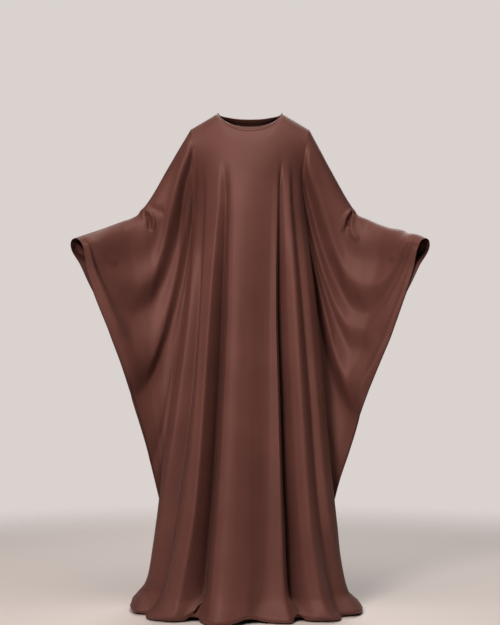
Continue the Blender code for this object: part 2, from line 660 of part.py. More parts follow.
def neck_binding(grids, material):
    """Bound edge of the neck: a flat strip that stands on the edge of both body panels."""
    paths = []
    tangents = []
    outwards = []
    for face, order in (("front", 1), ("back", -1)):
        points, normals = grids[face]
        keep = np.abs(points[:, 0, 0]) <= neck_half + 1e-6
        paths.append(points[keep, 0][::order][:-1])
        tangents.append((points[keep, 0] - points[keep, 1])[::order][:-1])
        outwards.append(normals[keep, 0][::order][:-1])
    path = np.concatenate(paths)
    outward = np.concatenate(outwards)
    outward = outward / np.linalg.norm(outward, axis=-1, keepdims=True)
    rise = np.concatenate(tangents)
    rise = rise - outward * np.sum(rise * outward, axis=-1, keepdims=True)
    rise = rise / np.linalg.norm(rise, axis=-1, keepdims=True)
    low = seam_gap
    high = seam_gap + binding_width
    half = binding_thickness / 2
    section = [
        (-half, low), (half, low), (half, high - half),
        (half / 2, high), (-half / 2, high), (-half, high - half),
    ]
    rings = [path + outward * (across - wall / 2) + rise * up for across, up in section]
    vertices = np.stack(rings, 1)
    count, sides = vertices.shape[:2]
    index = np.arange(count * sides).reshape(count, sides)
    ahead_index = np.roll(index, -1, axis=0)
    next_index = np.roll(index, -1, axis=1)
    both = np.roll(next_index, -1, axis=0)
    faces = np.stack([index.ravel(), ahead_index.ravel(), both.ravel(), next_index.ravel()], -1)
    flat = vertices.reshape(-1, 3)
    first = flat[faces[0]]
    facing = np.cross(first[1] - first[0], first[2] - first[0])
    if np.dot(facing, rise[0]) > 0:
        faces = faces[:, ::-1]
    make_object("neck_binding", flat, faces, material)


def build():
    for thing in list(bpy.data.objects):
        bpy.data.objects.remove(thing)
    cloth = cloth_material("brown_satin_crepe", colour)
    bound = cloth_material("brown_binding", binding_colour)
    body = {face: body_grid(face) for face in ("front", "back")}
    part_shoulders(body)
    join_body(body)
    for side in ("left", "right"):
        wings = {face: wing_grid(side, face) for face in ("front", "back")}
        join_over_arm(wings["front"], wings["back"])
        for face, wing in wings.items():
            join_wing(body[face], wing, side, face)
            panel(f"{side}_wing_{face}", wing[0], wing[1], cloth)
    for face, (points, normals) in body.items():
        panel(f"body_{face}", points, normals, cloth)
    neck_binding(body, bound)


build()
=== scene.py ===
import json

import bpy
import numpy as np
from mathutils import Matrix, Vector

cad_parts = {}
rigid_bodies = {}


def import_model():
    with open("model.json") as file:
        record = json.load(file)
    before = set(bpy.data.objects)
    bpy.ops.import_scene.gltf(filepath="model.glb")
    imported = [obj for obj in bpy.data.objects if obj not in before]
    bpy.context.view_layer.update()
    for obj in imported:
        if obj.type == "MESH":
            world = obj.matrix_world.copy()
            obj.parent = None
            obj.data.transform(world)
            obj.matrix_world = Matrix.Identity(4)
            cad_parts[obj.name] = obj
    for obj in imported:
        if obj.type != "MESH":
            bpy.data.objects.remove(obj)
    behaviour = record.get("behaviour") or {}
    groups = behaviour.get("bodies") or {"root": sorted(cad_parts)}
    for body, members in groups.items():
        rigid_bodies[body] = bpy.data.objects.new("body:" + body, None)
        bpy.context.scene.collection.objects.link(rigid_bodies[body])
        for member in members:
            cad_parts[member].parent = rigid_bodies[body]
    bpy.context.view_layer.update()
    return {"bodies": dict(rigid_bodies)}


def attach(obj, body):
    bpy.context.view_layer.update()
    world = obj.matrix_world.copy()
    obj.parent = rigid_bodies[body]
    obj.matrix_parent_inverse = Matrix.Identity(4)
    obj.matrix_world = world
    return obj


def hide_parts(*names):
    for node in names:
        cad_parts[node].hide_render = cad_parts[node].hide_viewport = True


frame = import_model()
bodyName = next(iter(frame["bodies"]))
print("frame loaded")


# Curves that everything below uses
def smoothStep(value):
    # 3t^2 - 2t^3 with t held between 0 and 1
    t = np.clip(value, 0.0, 1.0)
    return t * t * (3.0 - 2.0 * t)


def hump(distance, width):
    # exp(-(distance / width)^2)
    return np.exp(-((distance / width) ** 2))


def curveThrough(keys, values, at):
    # Cubic through the points with harmonic mean slopes, so it never overshoots them
    keys = np.asarray(keys, float)
    values = np.asarray(values, float)
    gaps = np.diff(keys)
    slopes = np.diff(values) / gaps
    sameWay = slopes[:-1] * slopes[1:] > 0
    total = np.where(sameWay, slopes[:-1] + slopes[1:], 1.0)
    middle = np.where(sameWay, 2 * slopes[:-1] * slopes[1:] / total, 0.0)
    tangents = np.concatenate([slopes[:1], middle, slopes[-1:]])
    at = np.clip(at, keys[0], keys[-1])
    cell = np.clip(np.searchsorted(keys, at) - 1, 0, len(gaps) - 1)
    width = gaps[cell]
    t = (at - keys[cell]) / width
    start = (1 + 2 * t) * (1 - t) ** 2 * values[cell] + t * (1 - t) ** 2 * width * tangents[cell]
    end = t * t * (3 - 2 * t) * values[cell + 1] - t * t * (1 - t) * width * tangents[cell + 1]
    return start + end


def column(table, name, at):
    # A named column of a table as a smooth function of its first column
    place = table["columns"].index(name)
    rows = table["rows"]
    return curveThrough([row[0] for row in rows], [row[place] for row in rows], at)


# Body: an oval ring at each height, from the shoulder and neck line down to the floor. The
# columns are the half widths at the left and right, the depths in front and behind, and the
# angle from the middle of a panel to its side seam.
body = {
    "thickness": 0.0011,
    "acrossCount": 290,
    "downCount": 165,
    "rowCrowding": 0.45,                   # how much closer the rows lie at the top and the hem
    "mapHalf": 0.5,                        # half width that the cloth map gives it
    "topLevel": -0.047,
    "footLevel": -1.4505,
    "columns": ("height", "left", "right", "front", "back", "seamAngle"),
    "rows": [
        (-1.4505, 0.346, 0.318, 0.266, 0.282, 92),
        (-1.441, 0.350, 0.322, 0.271, 0.286, 92),
        (-1.426, 0.338, 0.308, 0.263, 0.275, 92),
        (-1.393, 0.307, 0.274, 0.246, 0.253, 93),
        (-1.287, 0.283, 0.250, 0.226, 0.230, 101),
        (-1.200, 0.269, 0.240, 0.212, 0.215, 111),
        (-1.139, 0.262, 0.234, 0.203, 0.203, 112),
        (-0.959, 0.245, 0.217, 0.180, 0.172, 112),
        (-0.794, 0.221, 0.206, 0.162, 0.150, 112),
        (-0.558, 0.186, 0.186, 0.142, 0.122, 112),
        (-0.450, 0.175, 0.175, 0.137, 0.116, 108),
        (-0.369, 0.168, 0.168, 0.135, 0.114, 94),
        (-0.280, 0.160, 0.159, 0.135, 0.114, 84),
        (-0.200, 0.156, 0.154, 0.135, 0.114, 74),
        (-0.120, 0.161, 0.160, 0.135, 0.114, 62),
        (-0.047, 0.174, 0.174, 0.135, 0.114, 52),
    ],
    "shoulderHalf": 0.174,
    "neckHalf": 0.095,
    "neckDrop": {"front": 0.060, "back": 0.018, "flat": 0.0},
    "neckPower": (2.4, 0.8),               # how square the neck curve is, across and down
    "cornerSpread": (0.055, 0.06, 13),     # neck corners melt over this width by this depth, steps
    "shoulderReach": 0.36,                 # the slope of the shoulders dies away over this height
    "paintedShadeRise": (-0.060, -0.010),        # painted shade: full in folds this deep, none in folds this shallow
    "turning": (0.016, 0.0006, 0.004),     # width of the sewn hem, how far it stands out, its step
    "cut": {"front": (1.24, 1.15), "back": (1.06, 1.00)},     # flat width at the hem, flat area
    "roundOver": {"front": (0.110, 0.62), "back": (0.090, 0.55)},
    "foldStart": (-0.15, 0.12),            # height, and the drop over which the folds come in
    "spreadHeight": -0.84,                 # the columns lie evenly round each panel here
    # Folds from left to right: distance from the middle at each height, how far the cloth
    # stands out there, how far the line leans sideways at the hem, how sharply it turns
    "folds": {
        "heights": (-1.4505, -1.42, -1.36, -1.12, -0.84, -0.55, -0.27),
        "front": [
            ("left side crest",
             (-0.324, -0.314, -0.292, -0.250, -0.206, -0.173, -0.157),
             (0.008, 0.006, 0.005, 0.004, 0.004, 0.003, 0.000), 0.0, 0.0),
            ("left side hollow",
             (-0.306, -0.288, -0.264, -0.223, -0.182, -0.156, -0.139),
             (-0.008, -0.026, -0.030, -0.032, -0.027, -0.018, -0.005), 0.0, 0.2),
            ("left crest",
             (-0.262, -0.226, -0.209, -0.173, -0.148, -0.133, -0.120),
             (0.028, 0.027, 0.022, 0.016, 0.012, 0.008, 0.003), 0.0, 0.0),
            ("left edge",
             (-0.214, -0.196, -0.183, -0.147, -0.127, -0.109, -0.088),
             (0.018, 0.024, 0.022, 0.018, 0.015, 0.012, 0.004), 0.0, 0.5),
            ("left valley",
             (-0.160, -0.155, -0.149, -0.124, -0.104, -0.089, -0.074),
             (-0.028, -0.044, -0.060, -0.062, -0.054, -0.040, -0.012), 0.0, 0.6),
            ("middle edge",
             (-0.110, -0.106, -0.102, -0.087, -0.073, -0.062, -0.057),
             (0.028, 0.026, 0.020, 0.016, 0.012, 0.008, 0.003), 0.0, 0.9),
            ("middle crest",
             (-0.086, -0.083, -0.077, -0.061, -0.051, -0.044, -0.044),
             (0.036, 0.034, 0.028, 0.023, 0.018, 0.012, 0.005), 0.0, 0.0),
            ("middle valley",
             (0.020, 0.032, 0.046, 0.055, 0.057, 0.058, 0.062),
             (-0.024, -0.030, -0.028, -0.024, -0.018, -0.012, -0.004), 0.0, 0.0),
            ("right edge",
             (0.108, 0.106, 0.098, 0.090, 0.082, 0.075, 0.079),
             (0.004, -0.008, -0.012, -0.010, -0.007, -0.004, -0.001), 0.0, 0.5),
            ("right valley",
             (0.146, 0.146, 0.141, 0.121, 0.107, 0.093, 0.091),
             (-0.030, -0.054, -0.074, -0.070, -0.060, -0.044, -0.014), 0.0, 0.8),
            ("narrow edge",
             (0.186, 0.171, 0.157, 0.132, 0.118, 0.105, 0.096),
             (0.008, 0.008, 0.006, 0.004, 0.004, 0.003, 0.002), 0.0, 0.7),
            ("narrow crest",
             (0.228, 0.194, 0.176, 0.152, 0.137, 0.123, 0.108),
             (0.030, 0.033, 0.032, 0.030, 0.027, 0.021, 0.010), 0.0, 0.1),
            ("right side hollow",
             (0.264, 0.246, 0.226, 0.190, 0.170, 0.148, 0.123),
             (-0.004, -0.002, 0.000, 0.003, 0.003, 0.002, 0.000), 0.0, 0.3),
            ("right side crest",
             (0.294, 0.272, 0.248, 0.204, 0.182, 0.163, 0.140),
             (0.024, 0.022, 0.023, 0.022, 0.018, 0.013, 0.006), 0.0, 0.0),
        ],
        "back": [
            ("left side crest",
             (-0.322, -0.307, -0.278, -0.251, -0.215, -0.169, -0.126),
             (0.018, 0.018, 0.018, 0.014, 0.009, 0.005, 0.000), 0.0, 0.0),
            ("left side valley",
             (-0.272, -0.260, -0.236, -0.218, -0.182, -0.141, -0.102),
             (-0.011, -0.023, -0.026, -0.022, -0.016, -0.010, 0.000), 0.0, 0.6),
            ("left crest",
             (-0.225, -0.216, -0.199, -0.182, -0.151, -0.115, -0.080),
             (0.030, 0.029, 0.026, 0.020, 0.014, 0.009, 0.001), 0.0, 0.0),
            ("left valley",
             (-0.142, -0.137, -0.127, -0.113, -0.094, -0.073, -0.052),
             (-0.013, -0.029, -0.036, -0.032, -0.024, -0.015, -0.001), 0.0, 0.8),
            ("middle crest",
             (-0.060, -0.057, -0.050, -0.045, -0.037, -0.028, -0.020),
             (0.028, 0.027, 0.024, 0.020, 0.014, 0.009, 0.001), -0.004, 0.0),
            ("middle valley",
             (0.040, 0.039, 0.036, 0.034, 0.031, 0.026, 0.020),
             (-0.010, -0.021, -0.024, -0.020, -0.014, -0.008, 0.000), 0.0, 0.6),
            ("right crest",
             (0.131, 0.126, 0.116, 0.106, 0.092, 0.078, 0.055),
             (0.030, 0.029, 0.028, 0.023, 0.016, 0.010, 0.001), 0.006, 0.0),
            ("right valley",
             (0.185, 0.178, 0.164, 0.150, 0.129, 0.108, 0.078),
             (-0.013, -0.029, -0.036, -0.032, -0.024, -0.015, -0.001), 0.0, 0.8),
            ("right side crest",
             (0.245, 0.233, 0.209, 0.196, 0.170, 0.145, 0.103),
             (0.024, 0.023, 0.022, 0.017, 0.011, 0.006, 0.000), 0.0, 0.0),
            ("right side valley",
             (0.300, 0.283, 0.250, 0.227, 0.198, 0.170, 0.126),
             (-0.004, -0.009, -0.012, -0.010, -0.007, -0.003, 0.000), 0.0, 0.6),
        ],
    },
    "liftReach": (-1.36, 0.09),            # the lifts start here and are full this much lower
    # Where the hem is lifted off the floor: angle, half width, lift
    "hemLifts": {
        "front": [(-29, 1.9, 0.010), (-1, 6.0, 0.010), (27, 1.9, 0.010)],
        "back": [(-24, 5.0, 0.018), (37, 5.0, 0.020)],
    },
}


# Sleeve: its half thickness at the body and at the wrist, and how many of these it takes to
# close below the arm
sleeve = {
    "radius": (0.055, 0.021),
    "fall": (2.6, 2.2),
}


def wrap(drop, radius, fall):
    # Half width of a sleeve at a drop below its top: a circle's chord, then a bell's tail
    q = drop / radius
    rise = np.sqrt(np.clip(1 - (1 - np.minimum(q, 1)) ** 2, 0, 1))
    return radius * rise * np.exp(-((np.maximum(q - 1, 0) / fall) ** 2))


def armhole(level):
    # The sleeve's wrap at the body, which both panels meet in
    return wrap(body["topLevel"] - level, sleeve["radius"][0], sleeve["fall"][0])


def topEdge(face, x):
    # The neck curve between the neck points, then the straight slope of the shoulder
    x = np.abs(x)
    half = body["neckHalf"]
    across, down = body["neckPower"]
    slope = -body["topLevel"] / (body["shoulderHalf"] - half)
    neck = -body["neckDrop"][face] * (1 - np.minimum(x / half, 1) ** across) ** down
    return np.where(x < half, neck, -(x - half) * slope)


def softTopEdge(face, x, level):
    # The mean of the top edge over a width that grows from nothing just below the edge
    spread, reach, count = body["cornerSpread"]
    width = spread * smoothStep((body["topLevel"] - level) / reach)
    return sum(topEdge(face, x + width * share) for share in np.linspace(-1, 1, count)) / count


def foldShares(face, level):
    # Where each fold's line lies, as a share of the angle from the middle to the side seam
    seamAngle = np.radians(column(body, "seamAngle", level))
    shares = [-np.ones_like(seamAngle)]
    for _, places, _, _, _ in body["folds"][face]:
        x = curveThrough(body["folds"]["heights"], places, level)
        half = column(body, "left" if places[0] < 0 else "right", level)
        sine = x / half * np.sin(np.minimum(seamAngle, np.pi / 2))
        shares.append(np.arcsin(np.clip(sine, -0.99, 0.99)) / seamAngle)
    return shares + [np.ones_like(seamAngle)]


def foldDrift(face, u, level):
    # Columns follow the folds' lines, with even steps between one line and the next
    keys = [float(share) for share in foldShares(face, np.array(body["spreadHeight"]))]
    shares = foldShares(face, level)
    moved = u * 0.0
    for k in range(len(keys) - 1):
        t = (u - keys[k]) / (keys[k + 1] - keys[k])
        between = shares[k] + (shares[k + 1] - shares[k]) * t
        moved = np.where((u >= keys[k]) & (u <= keys[k + 1]), between, moved)
    return moved


def foldWave(t, leaving, meeting):
    # Half wave from 0 to 1: soft at an end whose sharpness is 0, straight where it is 1
    soft = smoothStep(t)
    steepStart = np.sin(np.pi / 2 * t)
    steepEnd = 1 - np.cos(np.pi / 2 * t)
    wave = soft * (1 - leaving) * (1 - meeting) + t * leaving * meeting
    return wave + steepStart * leaving * (1 - meeting) + steepEnd * (1 - leaving) * meeting


def foldRise(face, u, level):
    # Heights of the folds, blended from each one to the next by a half wave
    heights = body["folds"]["heights"]
    _, _, rises, leans, sharpness = zip(*body["folds"][face])
    start, reach = body["foldStart"]
    started = smoothStep((start - level) / reach)
    down = np.clip((start - level) / (start - body["footLevel"]), 0, 1)
    keys = [float(share) for share in foldShares(face, np.array(body["spreadHeight"]))]
    rises = [curveThrough(heights, values, level) * started for values in rises]
    rises = [0 * u] + rises + [0 * u]
    leans = [0 * u] + [lean * down for lean in leans] + [0 * u]
    sharpness = [0.0, *sharpness, 0.0]
    rise = u * 0.0
    shift = u * 0.0
    for k in range(len(keys) - 1):
        t = np.clip((u - keys[k]) / (keys[k + 1] - keys[k]), 0, 1)
        wave = foldWave(t, sharpness[k], sharpness[k + 1])
        inside = (u >= keys[k]) & (u <= keys[k + 1])
        rise = np.where(inside, rises[k] + (rises[k + 1] - rises[k]) * wave, rise)
        shift = np.where(inside, leans[k] + (leans[k + 1] - leans[k]) * wave, shift)
    return rise, shift


def bodyForm(face, share, level):
    # Half an oval at each height: x = half width * sin(angle), y = depth * (1 - cos) share
    seamAngle = np.radians(column(body, "seamAngle", level))
    angle = seamAngle * share
    half = np.where(share < 0, column(body, "left", level), column(body, "right", level))
    x = half * np.sin(angle) / np.sin(np.minimum(seamAngle, np.pi / 2))
    upper = 1 - smoothStep((body["topLevel"] - level) / body["shoulderReach"])
    topAngle = np.radians(column(body, "seamAngle", body["topLevel"]))
    xTop = body["shoulderHalf"] * np.sin(topAngle * share) / np.sin(topAngle)
    z = level + (softTopEdge(face, xTop, level) - body["topLevel"]) * upper
    below = np.clip(np.minimum(softTopEdge("flat", xTop, level), 0) - z, 0, None)
    scale, power = body["roundOver"][face]
    depth = column(body, face, level) * (1 - np.exp(-below / scale)) ** power
    edge = armhole(level)
    forward = (np.cos(angle) - np.cos(seamAngle)) / (1 - np.cos(seamAngle))
    y = edge + (np.maximum(depth, edge) - edge) * forward
    start, reach = body["liftReach"]
    foot = smoothStep((start - level) / reach)
    for place, width, lift in body["hemLifts"][face]:
        z = z + lift * foot * hump(np.degrees(angle) - place, width)
    return np.stack([x, y * (-1.0 if face == "front" else 1.0), z], -1)


def gridNormals(points, towards):
    # Cross product of the grid's two differences, turned to the side that towards gives
    across = np.gradient(points, axis=0)
    down = np.gradient(points, axis=1)
    normal = np.cross(across, down)
    length = np.linalg.norm(normal, axis=-1, keepdims=True)
    normal = normal / np.maximum(length, 1e-12)
    middle = normal[normal.shape[0] // 2, normal.shape[1] // 2]
    return normal if np.dot(middle, towards) > 0 else -normal


def bodySurface(face, u, level):
    # The oval form moved out and in along its level normal by the folds
    outward = -1.0 if face == "front" else 1.0
    form = bodyForm(face, foldDrift(face, u, level), level)
    normal = gridNormals(form, (0, outward, 0))
    normal[..., 2] = 0
    normal = normal / np.maximum(np.linalg.norm(normal, axis=-1, keepdims=True), 1e-9)
    sideways = np.cross(np.array([0.0, 0.0, 1.0]), normal) * -outward
    rise, shift = foldRise(face, u, level)
    width, height, step = body["turning"]
    rise = rise + height * smoothStep((body["footLevel"] + width - level) / step)
    return form + normal * rise[..., None] + sideways * shift[..., None]


def seamLine(side, level):
    # Half width of the body, times sin(seam angle) where the seam lies past 90 degrees
    turn = np.radians(column(body, "seamAngle", level))
    return column(body, side, level) * np.sin(turn) / np.sin(np.minimum(turn, np.pi / 2))


# Wings: the line along the top of each arm, the outer edge below the cuff, and the swags. Out
# is the share of the way from the body seam to the outer edge, drop is the depth below the arm.
wings = {
    "thickness": 0.0011,
    "acrossCount": 126,
    "downCount": 190,
    "rowCrowding": 0.32,                   # how much closer the rows lie in the sleeve
    "mapWidth": 0.35,                      # width that the cloth map gives it
    "tipHeight": -1.180,
    "slitShare": 0.19,                     # how far down the outer edge the cuff is open
    "cuffStep": {"front": -0.001, "back": 0.007},
    "lean": 1.7,                           # how late the wing turns forward on its way out
    "hang": 1.5,                           # how soon the bend of the arm dies away below it
    "layerHalf": (0.0023, 0.008),          # half the gap between the layers, by this drop
    "pocketParting": (0.008, 0.10, 0.25),  # full by this drop, and closed again by the tip
    "seamGap": 0.0004,
    "seamTuck": (0.0016, -0.10, 0.05),     # how far the seam slips in, from this height, over this
    "bodyShare": 0.18,                     # the wing leaves the body's own form over this share
    "edgeRoll": (0.009, 0.006, 0.0006),    # place in from the edge, width, height
    "edgeReach": (0.30, 1.2, 0.25),        # width of the wing, where it ends, where the roll is full
    "sideFade": (0.06, 0.2),               # swags fade at the sides, less so at the outer one
    "tipFade": (0.02, 0.20),               # flat this near the tip, full this much higher
    "topFade": 0.03,                       # flat along the top of the arm, full by this drop
    "swagFade": 0.055,                     # reach of the first swag upwards and the last down
    "ownSwags": (0.004, 0.020),            # a thinner sleeve takes its back swags from the front
    "creaseTaper": (0.22, 0.15),           # share over which it fades, how blunt its ends are
    "creaseSteps": 81,
    "turning": (0.028, 0.0006, 0.01, 0.03),     # cuff hem as a share of the width, height, steps
    "elbowRows": (3, 7),                   # these rows of the arm are only its elbow step
    "elbowFade": 0.07,
    "arm": {
        "left": {
            "columns": ("share", "out", "depth", "height"),
            "rows": [
                (0.000, 0.174, 0.000, -0.047),
                (0.233, 0.231, 0.008, -0.143),
                (0.470, 0.290, 0.014, -0.243),
                (0.540, 0.310, 0.014, -0.271),
                (0.575, 0.323, 0.012, -0.283),
                (0.610, 0.332, 0.008, -0.297),
                (0.650, 0.348, 0.001, -0.307),
                (0.719, 0.376, -0.018, -0.319),
                (0.823, 0.420, -0.056, -0.340),
                (0.930, 0.470, -0.115, -0.364),
                (1.000, 0.499, -0.150, -0.378),
            ],
        },
        "right": {
            "columns": ("share", "out", "depth", "height"),
            "rows": [
                (0.000, 0.174, 0.000, -0.047),
                (0.233, 0.225, 0.008, -0.143),
                (0.470, 0.282, 0.014, -0.243),
                (0.530, 0.298, 0.014, -0.268),
                (0.565, 0.309, 0.012, -0.281),
                (0.600, 0.319, 0.008, -0.296),
                (0.660, 0.347, 0.000, -0.309),
                (0.780, 0.402, -0.040, -0.335),
                (0.860, 0.440, -0.080, -0.347),
                (0.900, 0.457, -0.100, -0.357),
                (0.940, 0.474, -0.120, -0.361),
                (1.000, 0.501, -0.150, -0.376),
            ],
        },
    },
    "edge": {
        "columns": ("height", "left", "right", "depth"),
        "rows": [
            (-1.180, 0.256, 0.238, -0.004),
            (-1.077, 0.278, 0.262, -0.030),
            (-0.988, 0.297, 0.289, -0.052),
            (-0.899, 0.319, 0.312, -0.070),
            (-0.812, 0.346, 0.343, -0.087),
            (-0.725, 0.374, 0.377, -0.105),
            (-0.653, 0.401, 0.406, -0.115),
            (-0.545, 0.444, 0.444, -0.130),
            (-0.379, 0.499, 0.501, -0.150),
        ],
    },
    # Swags, nested under each other from the arm down to the tip: the height of each line at
    # the distances out, then how far the cloth stands out along it near the body, at the
    # lowest stretch and near the cuff. A negative rise is a hollow.
    "swagOuts": (0.16, 0.19, 0.22, 0.26, 0.30, 0.34, 0.38, 0.43, 0.48),
    "riseOuts": (0.19, 0.32, 0.46),
    "swags": {
        ("left", "front"): [
            ((-0.075, -0.158, -0.270, -0.415, -0.485, -0.505, -0.495, -0.445, -0.375),
             (0.010, 0.020, 0.006)),
            ((-0.120, -0.235, -0.400, -0.515, -0.580, -0.595, -0.565, -0.480, -0.390),
             (-0.013, -0.017, -0.007)),
            ((-0.185, -0.312, -0.480, -0.635, -0.720, -0.720, -0.650, -0.540, -0.405),
             (-0.016, 0.008, 0.013)),
            ((-0.240, -0.442, -0.580, -0.725, -0.810, -0.850, -0.840, -0.750, -0.610),
             (-0.026, -0.018, -0.005)),
            ((-0.280, -0.510, -0.690, -0.920, -1.040, -1.090, -1.100, -1.000, -0.900),
             (-0.016, -0.004, 0.000)),
        ],
        ("right", "front"): [
            ((-0.140, -0.233, -0.325, -0.420, -0.480, -0.505, -0.505, -0.445, -0.365),
             (0.010, 0.018, 0.006)),
            ((-0.205, -0.313, -0.415, -0.510, -0.575, -0.590, -0.560, -0.475, -0.378),
             (-0.012, -0.014, -0.006)),
            ((-0.260, -0.380, -0.480, -0.575, -0.630, -0.635, -0.595, -0.500, -0.393),
             (0.000, 0.002, 0.000)),
            ((-0.290, -0.416, -0.520, -0.630, -0.695, -0.700, -0.650, -0.535, -0.405),
             (-0.008, -0.010, -0.004)),
            ((-0.312, -0.452, -0.580, -0.715, -0.790, -0.790, -0.710, -0.570, -0.415),
             (0.006, 0.017, 0.012)),
            ((-0.366, -0.532, -0.700, -0.840, -0.900, -0.915, -0.870, -0.760, -0.625),
             (-0.020, -0.016, -0.005)),
            ((-0.390, -0.622, -0.860, -1.020, -1.090, -1.110, -1.100, -1.000, -0.900),
             (-0.006, -0.002, 0.000)),
        ],
        ("left", "back"): [
            ((-0.085, -0.170, -0.275, -0.400, -0.470, -0.492, -0.480, -0.435, -0.371),
             (0.010, 0.018, 0.006)),
            ((-0.130, -0.240, -0.380, -0.500, -0.560, -0.572, -0.545, -0.468, -0.386),
             (-0.014, -0.014, -0.006)),
            ((-0.180, -0.320, -0.465, -0.615, -0.690, -0.700, -0.642, -0.530, -0.402),
             (0.008, 0.018, 0.007)),
            ((-0.240, -0.440, -0.585, -0.725, -0.815, -0.850, -0.845, -0.750, -0.620),
             (-0.018, -0.016, -0.005)),
            ((-0.280, -0.520, -0.710, -0.920, -1.040, -1.090, -1.100, -1.000, -0.900),
             (0.008, 0.005, 0.000)),
        ],
        ("right", "back"): [
            ((-0.110, -0.200, -0.300, -0.410, -0.475, -0.498, -0.488, -0.440, -0.368),
             (0.010, 0.018, 0.006)),
            ((-0.165, -0.280, -0.398, -0.505, -0.565, -0.580, -0.552, -0.470, -0.383),
             (-0.014, -0.014, -0.006)),
            ((-0.230, -0.370, -0.515, -0.645, -0.725, -0.735, -0.680, -0.550, -0.406),
             (0.008, 0.018, 0.007)),
            ((-0.300, -0.470, -0.625, -0.770, -0.855, -0.880, -0.855, -0.750, -0.620),
             (-0.018, -0.016, -0.005)),
            ((-0.350, -0.570, -0.775, -0.980, -1.070, -1.100, -1.110, -1.000, -0.900),
             (0.008, 0.005, 0.000)),
        ],
    },
    # Short creases: places along the line (out, height), half width, rise
    "creases": {
        ("left", "front"): [
            ((0.331, -0.296, 0.318, -0.289, 0.303, -0.289, 0.290, -0.301, 0.283, -0.322, 0.288, -0.350),
             0.0065, 0.008),
            ((0.312, -0.300, 0.301, -0.310, 0.297, -0.328, 0.300, -0.352), 0.0075, -0.011),
            ((0.300, -0.272, 0.282, -0.284, 0.262, -0.292, 0.245, -0.290), 0.012, -0.005),
            ((0.350, -0.318, 0.372, -0.334, 0.392, -0.346), 0.010, -0.003),
            ((0.488, -0.386, 0.462, -0.400, 0.430, -0.430, 0.395, -0.455), 0.012, 0.004),
            ((0.482, -0.400, 0.450, -0.480, 0.415, -0.570, 0.370, -0.665), 0.022, 0.006),
        ],
        ("right", "front"): [
            ((0.316, -0.294, 0.303, -0.288, 0.290, -0.298, 0.280, -0.318, 0.277, -0.340, 0.268, -0.354),
             0.0065, 0.008),
            ((0.309, -0.298, 0.297, -0.308, 0.291, -0.326, 0.291, -0.345), 0.0075, -0.011),
            ((0.322, -0.300, 0.306, -0.318, 0.304, -0.340, 0.312, -0.365, 0.330, -0.385), 0.008, 0.006),
            ((0.335, -0.312, 0.345, -0.332, 0.362, -0.352), 0.010, -0.003),
            ((0.488, -0.384, 0.465, -0.398, 0.440, -0.425, 0.415, -0.445), 0.012, 0.004),
            ((0.483, -0.400, 0.455, -0.480, 0.420, -0.570, 0.378, -0.660), 0.020, 0.005),
        ],
        ("left", "back"): [
            ((0.331, -0.296, 0.316, -0.292, 0.300, -0.300, 0.290, -0.322, 0.290, -0.350), 0.008, 0.007),
            ((0.312, -0.305, 0.303, -0.322, 0.304, -0.345), 0.008, -0.008),
            ((0.485, -0.398, 0.463, -0.440, 0.440, -0.498), 0.009, 0.004),
        ],
        ("right", "back"): [
            ((0.318, -0.295, 0.303, -0.292, 0.290, -0.302, 0.282, -0.325, 0.284, -0.352), 0.008, 0.007),
            ((0.303, -0.305, 0.295, -0.322, 0.297, -0.345), 0.008, -0.008),
            ((0.486, -0.398, 0.466, -0.440, 0.444, -0.498), 0.009, 0.004),
        ],
    },
}


def armColumn(side, name, out, share):
    # The line along the arm, its elbow step fading out below it: plain + step * exp(-(s/w)^2)
    arm = wings["arm"][side]
    first, last = wings["elbowRows"]
    plain = {"columns": arm["columns"], "rows": arm["rows"][:first] + arm["rows"][last:]}
    step = column(arm, name, out) - column(plain, name, out)
    return column(plain, name, out) + step * hump(share, wings["elbowFade"])


def wingMiddle(side, face, out, level):
    # Ruled between the seam and the outer edge, bent up to the line along the arm at its top
    top = body["topLevel"]
    tip = wings["tipHeight"]
    arm = wings["arm"][side]
    edge = wings["edge"]
    wristOut, wristDepth, wristHeight = arm["rows"][-1][1:]
    edgeTop = edge["rows"][-1][0]
    share = (top - level) / (top - tip)
    tuck, start, reach = wings["seamTuck"]
    seamStep = wings["seamGap"] - tuck * smoothStep((start - level) / reach)
    edgeZ = edgeTop + share * (tip - edgeTop)
    slit = np.clip(share / wings["slitShare"], 0, 1)
    step = wings["cuffStep"][face] * np.sin(np.pi * slit) * np.where(slit < 1, 1, 0)
    inX = seamLine(side, level) + seamStep
    outX = column(edge, side, edgeZ) + step
    lineX = body["shoulderHalf"] + out * (wristOut - body["shoulderHalf"])
    lineZ = top + out * (wristHeight - top)
    hang = 1 - share
    x = inX + out * (outX - inX) + (armColumn(side, "out", out, share) - lineX) * hang
    z = level + out * (edgeZ - level) + (armColumn(side, "height", out, share) - lineZ) * hang
    lean = out ** wings["lean"]
    y = column(edge, "depth", edgeZ) * lean
    y = y + (armColumn(side, "depth", out, share) - wristDepth * lean) * hang ** wings["hang"]
    return np.stack([x, y, z], -1)


def nearLine(x, z, places):
    # Distance to a smooth line through the places, and the share along it of the nearest point
    places = np.reshape(places, (-1, 2))
    steps = np.linalg.norm(np.diff(places, axis=0), axis=1)
    keys = np.concatenate([[0.0], np.cumsum(steps)]) / np.sum(steps)
    share = np.linspace(0, 1, wings["creaseSteps"])
    lineX = curveThrough(keys, places[:, 0], share)
    lineZ = curveThrough(keys, places[:, 1], share)
    away = np.hypot(x[..., None] - lineX, z[..., None] - lineZ)
    return away.min(axis=-1), share[away.argmin(axis=-1)]


def creaseHeight(side, face, x, z):
    # Sum of rise * exp(-(distance / width)^2) along each short line, less towards its ends
    rise = x * 0.0
    for places, width, height in wings["creases"][(side, face)]:
        away, share = nearLine(x, z, places)
        taper, blunt = wings["creaseTaper"]
        ends = smoothStep(share / taper + blunt) * smoothStep((1 - share) / taper + blunt)
        rise = rise + height * ends * hump(away, width)
    return rise


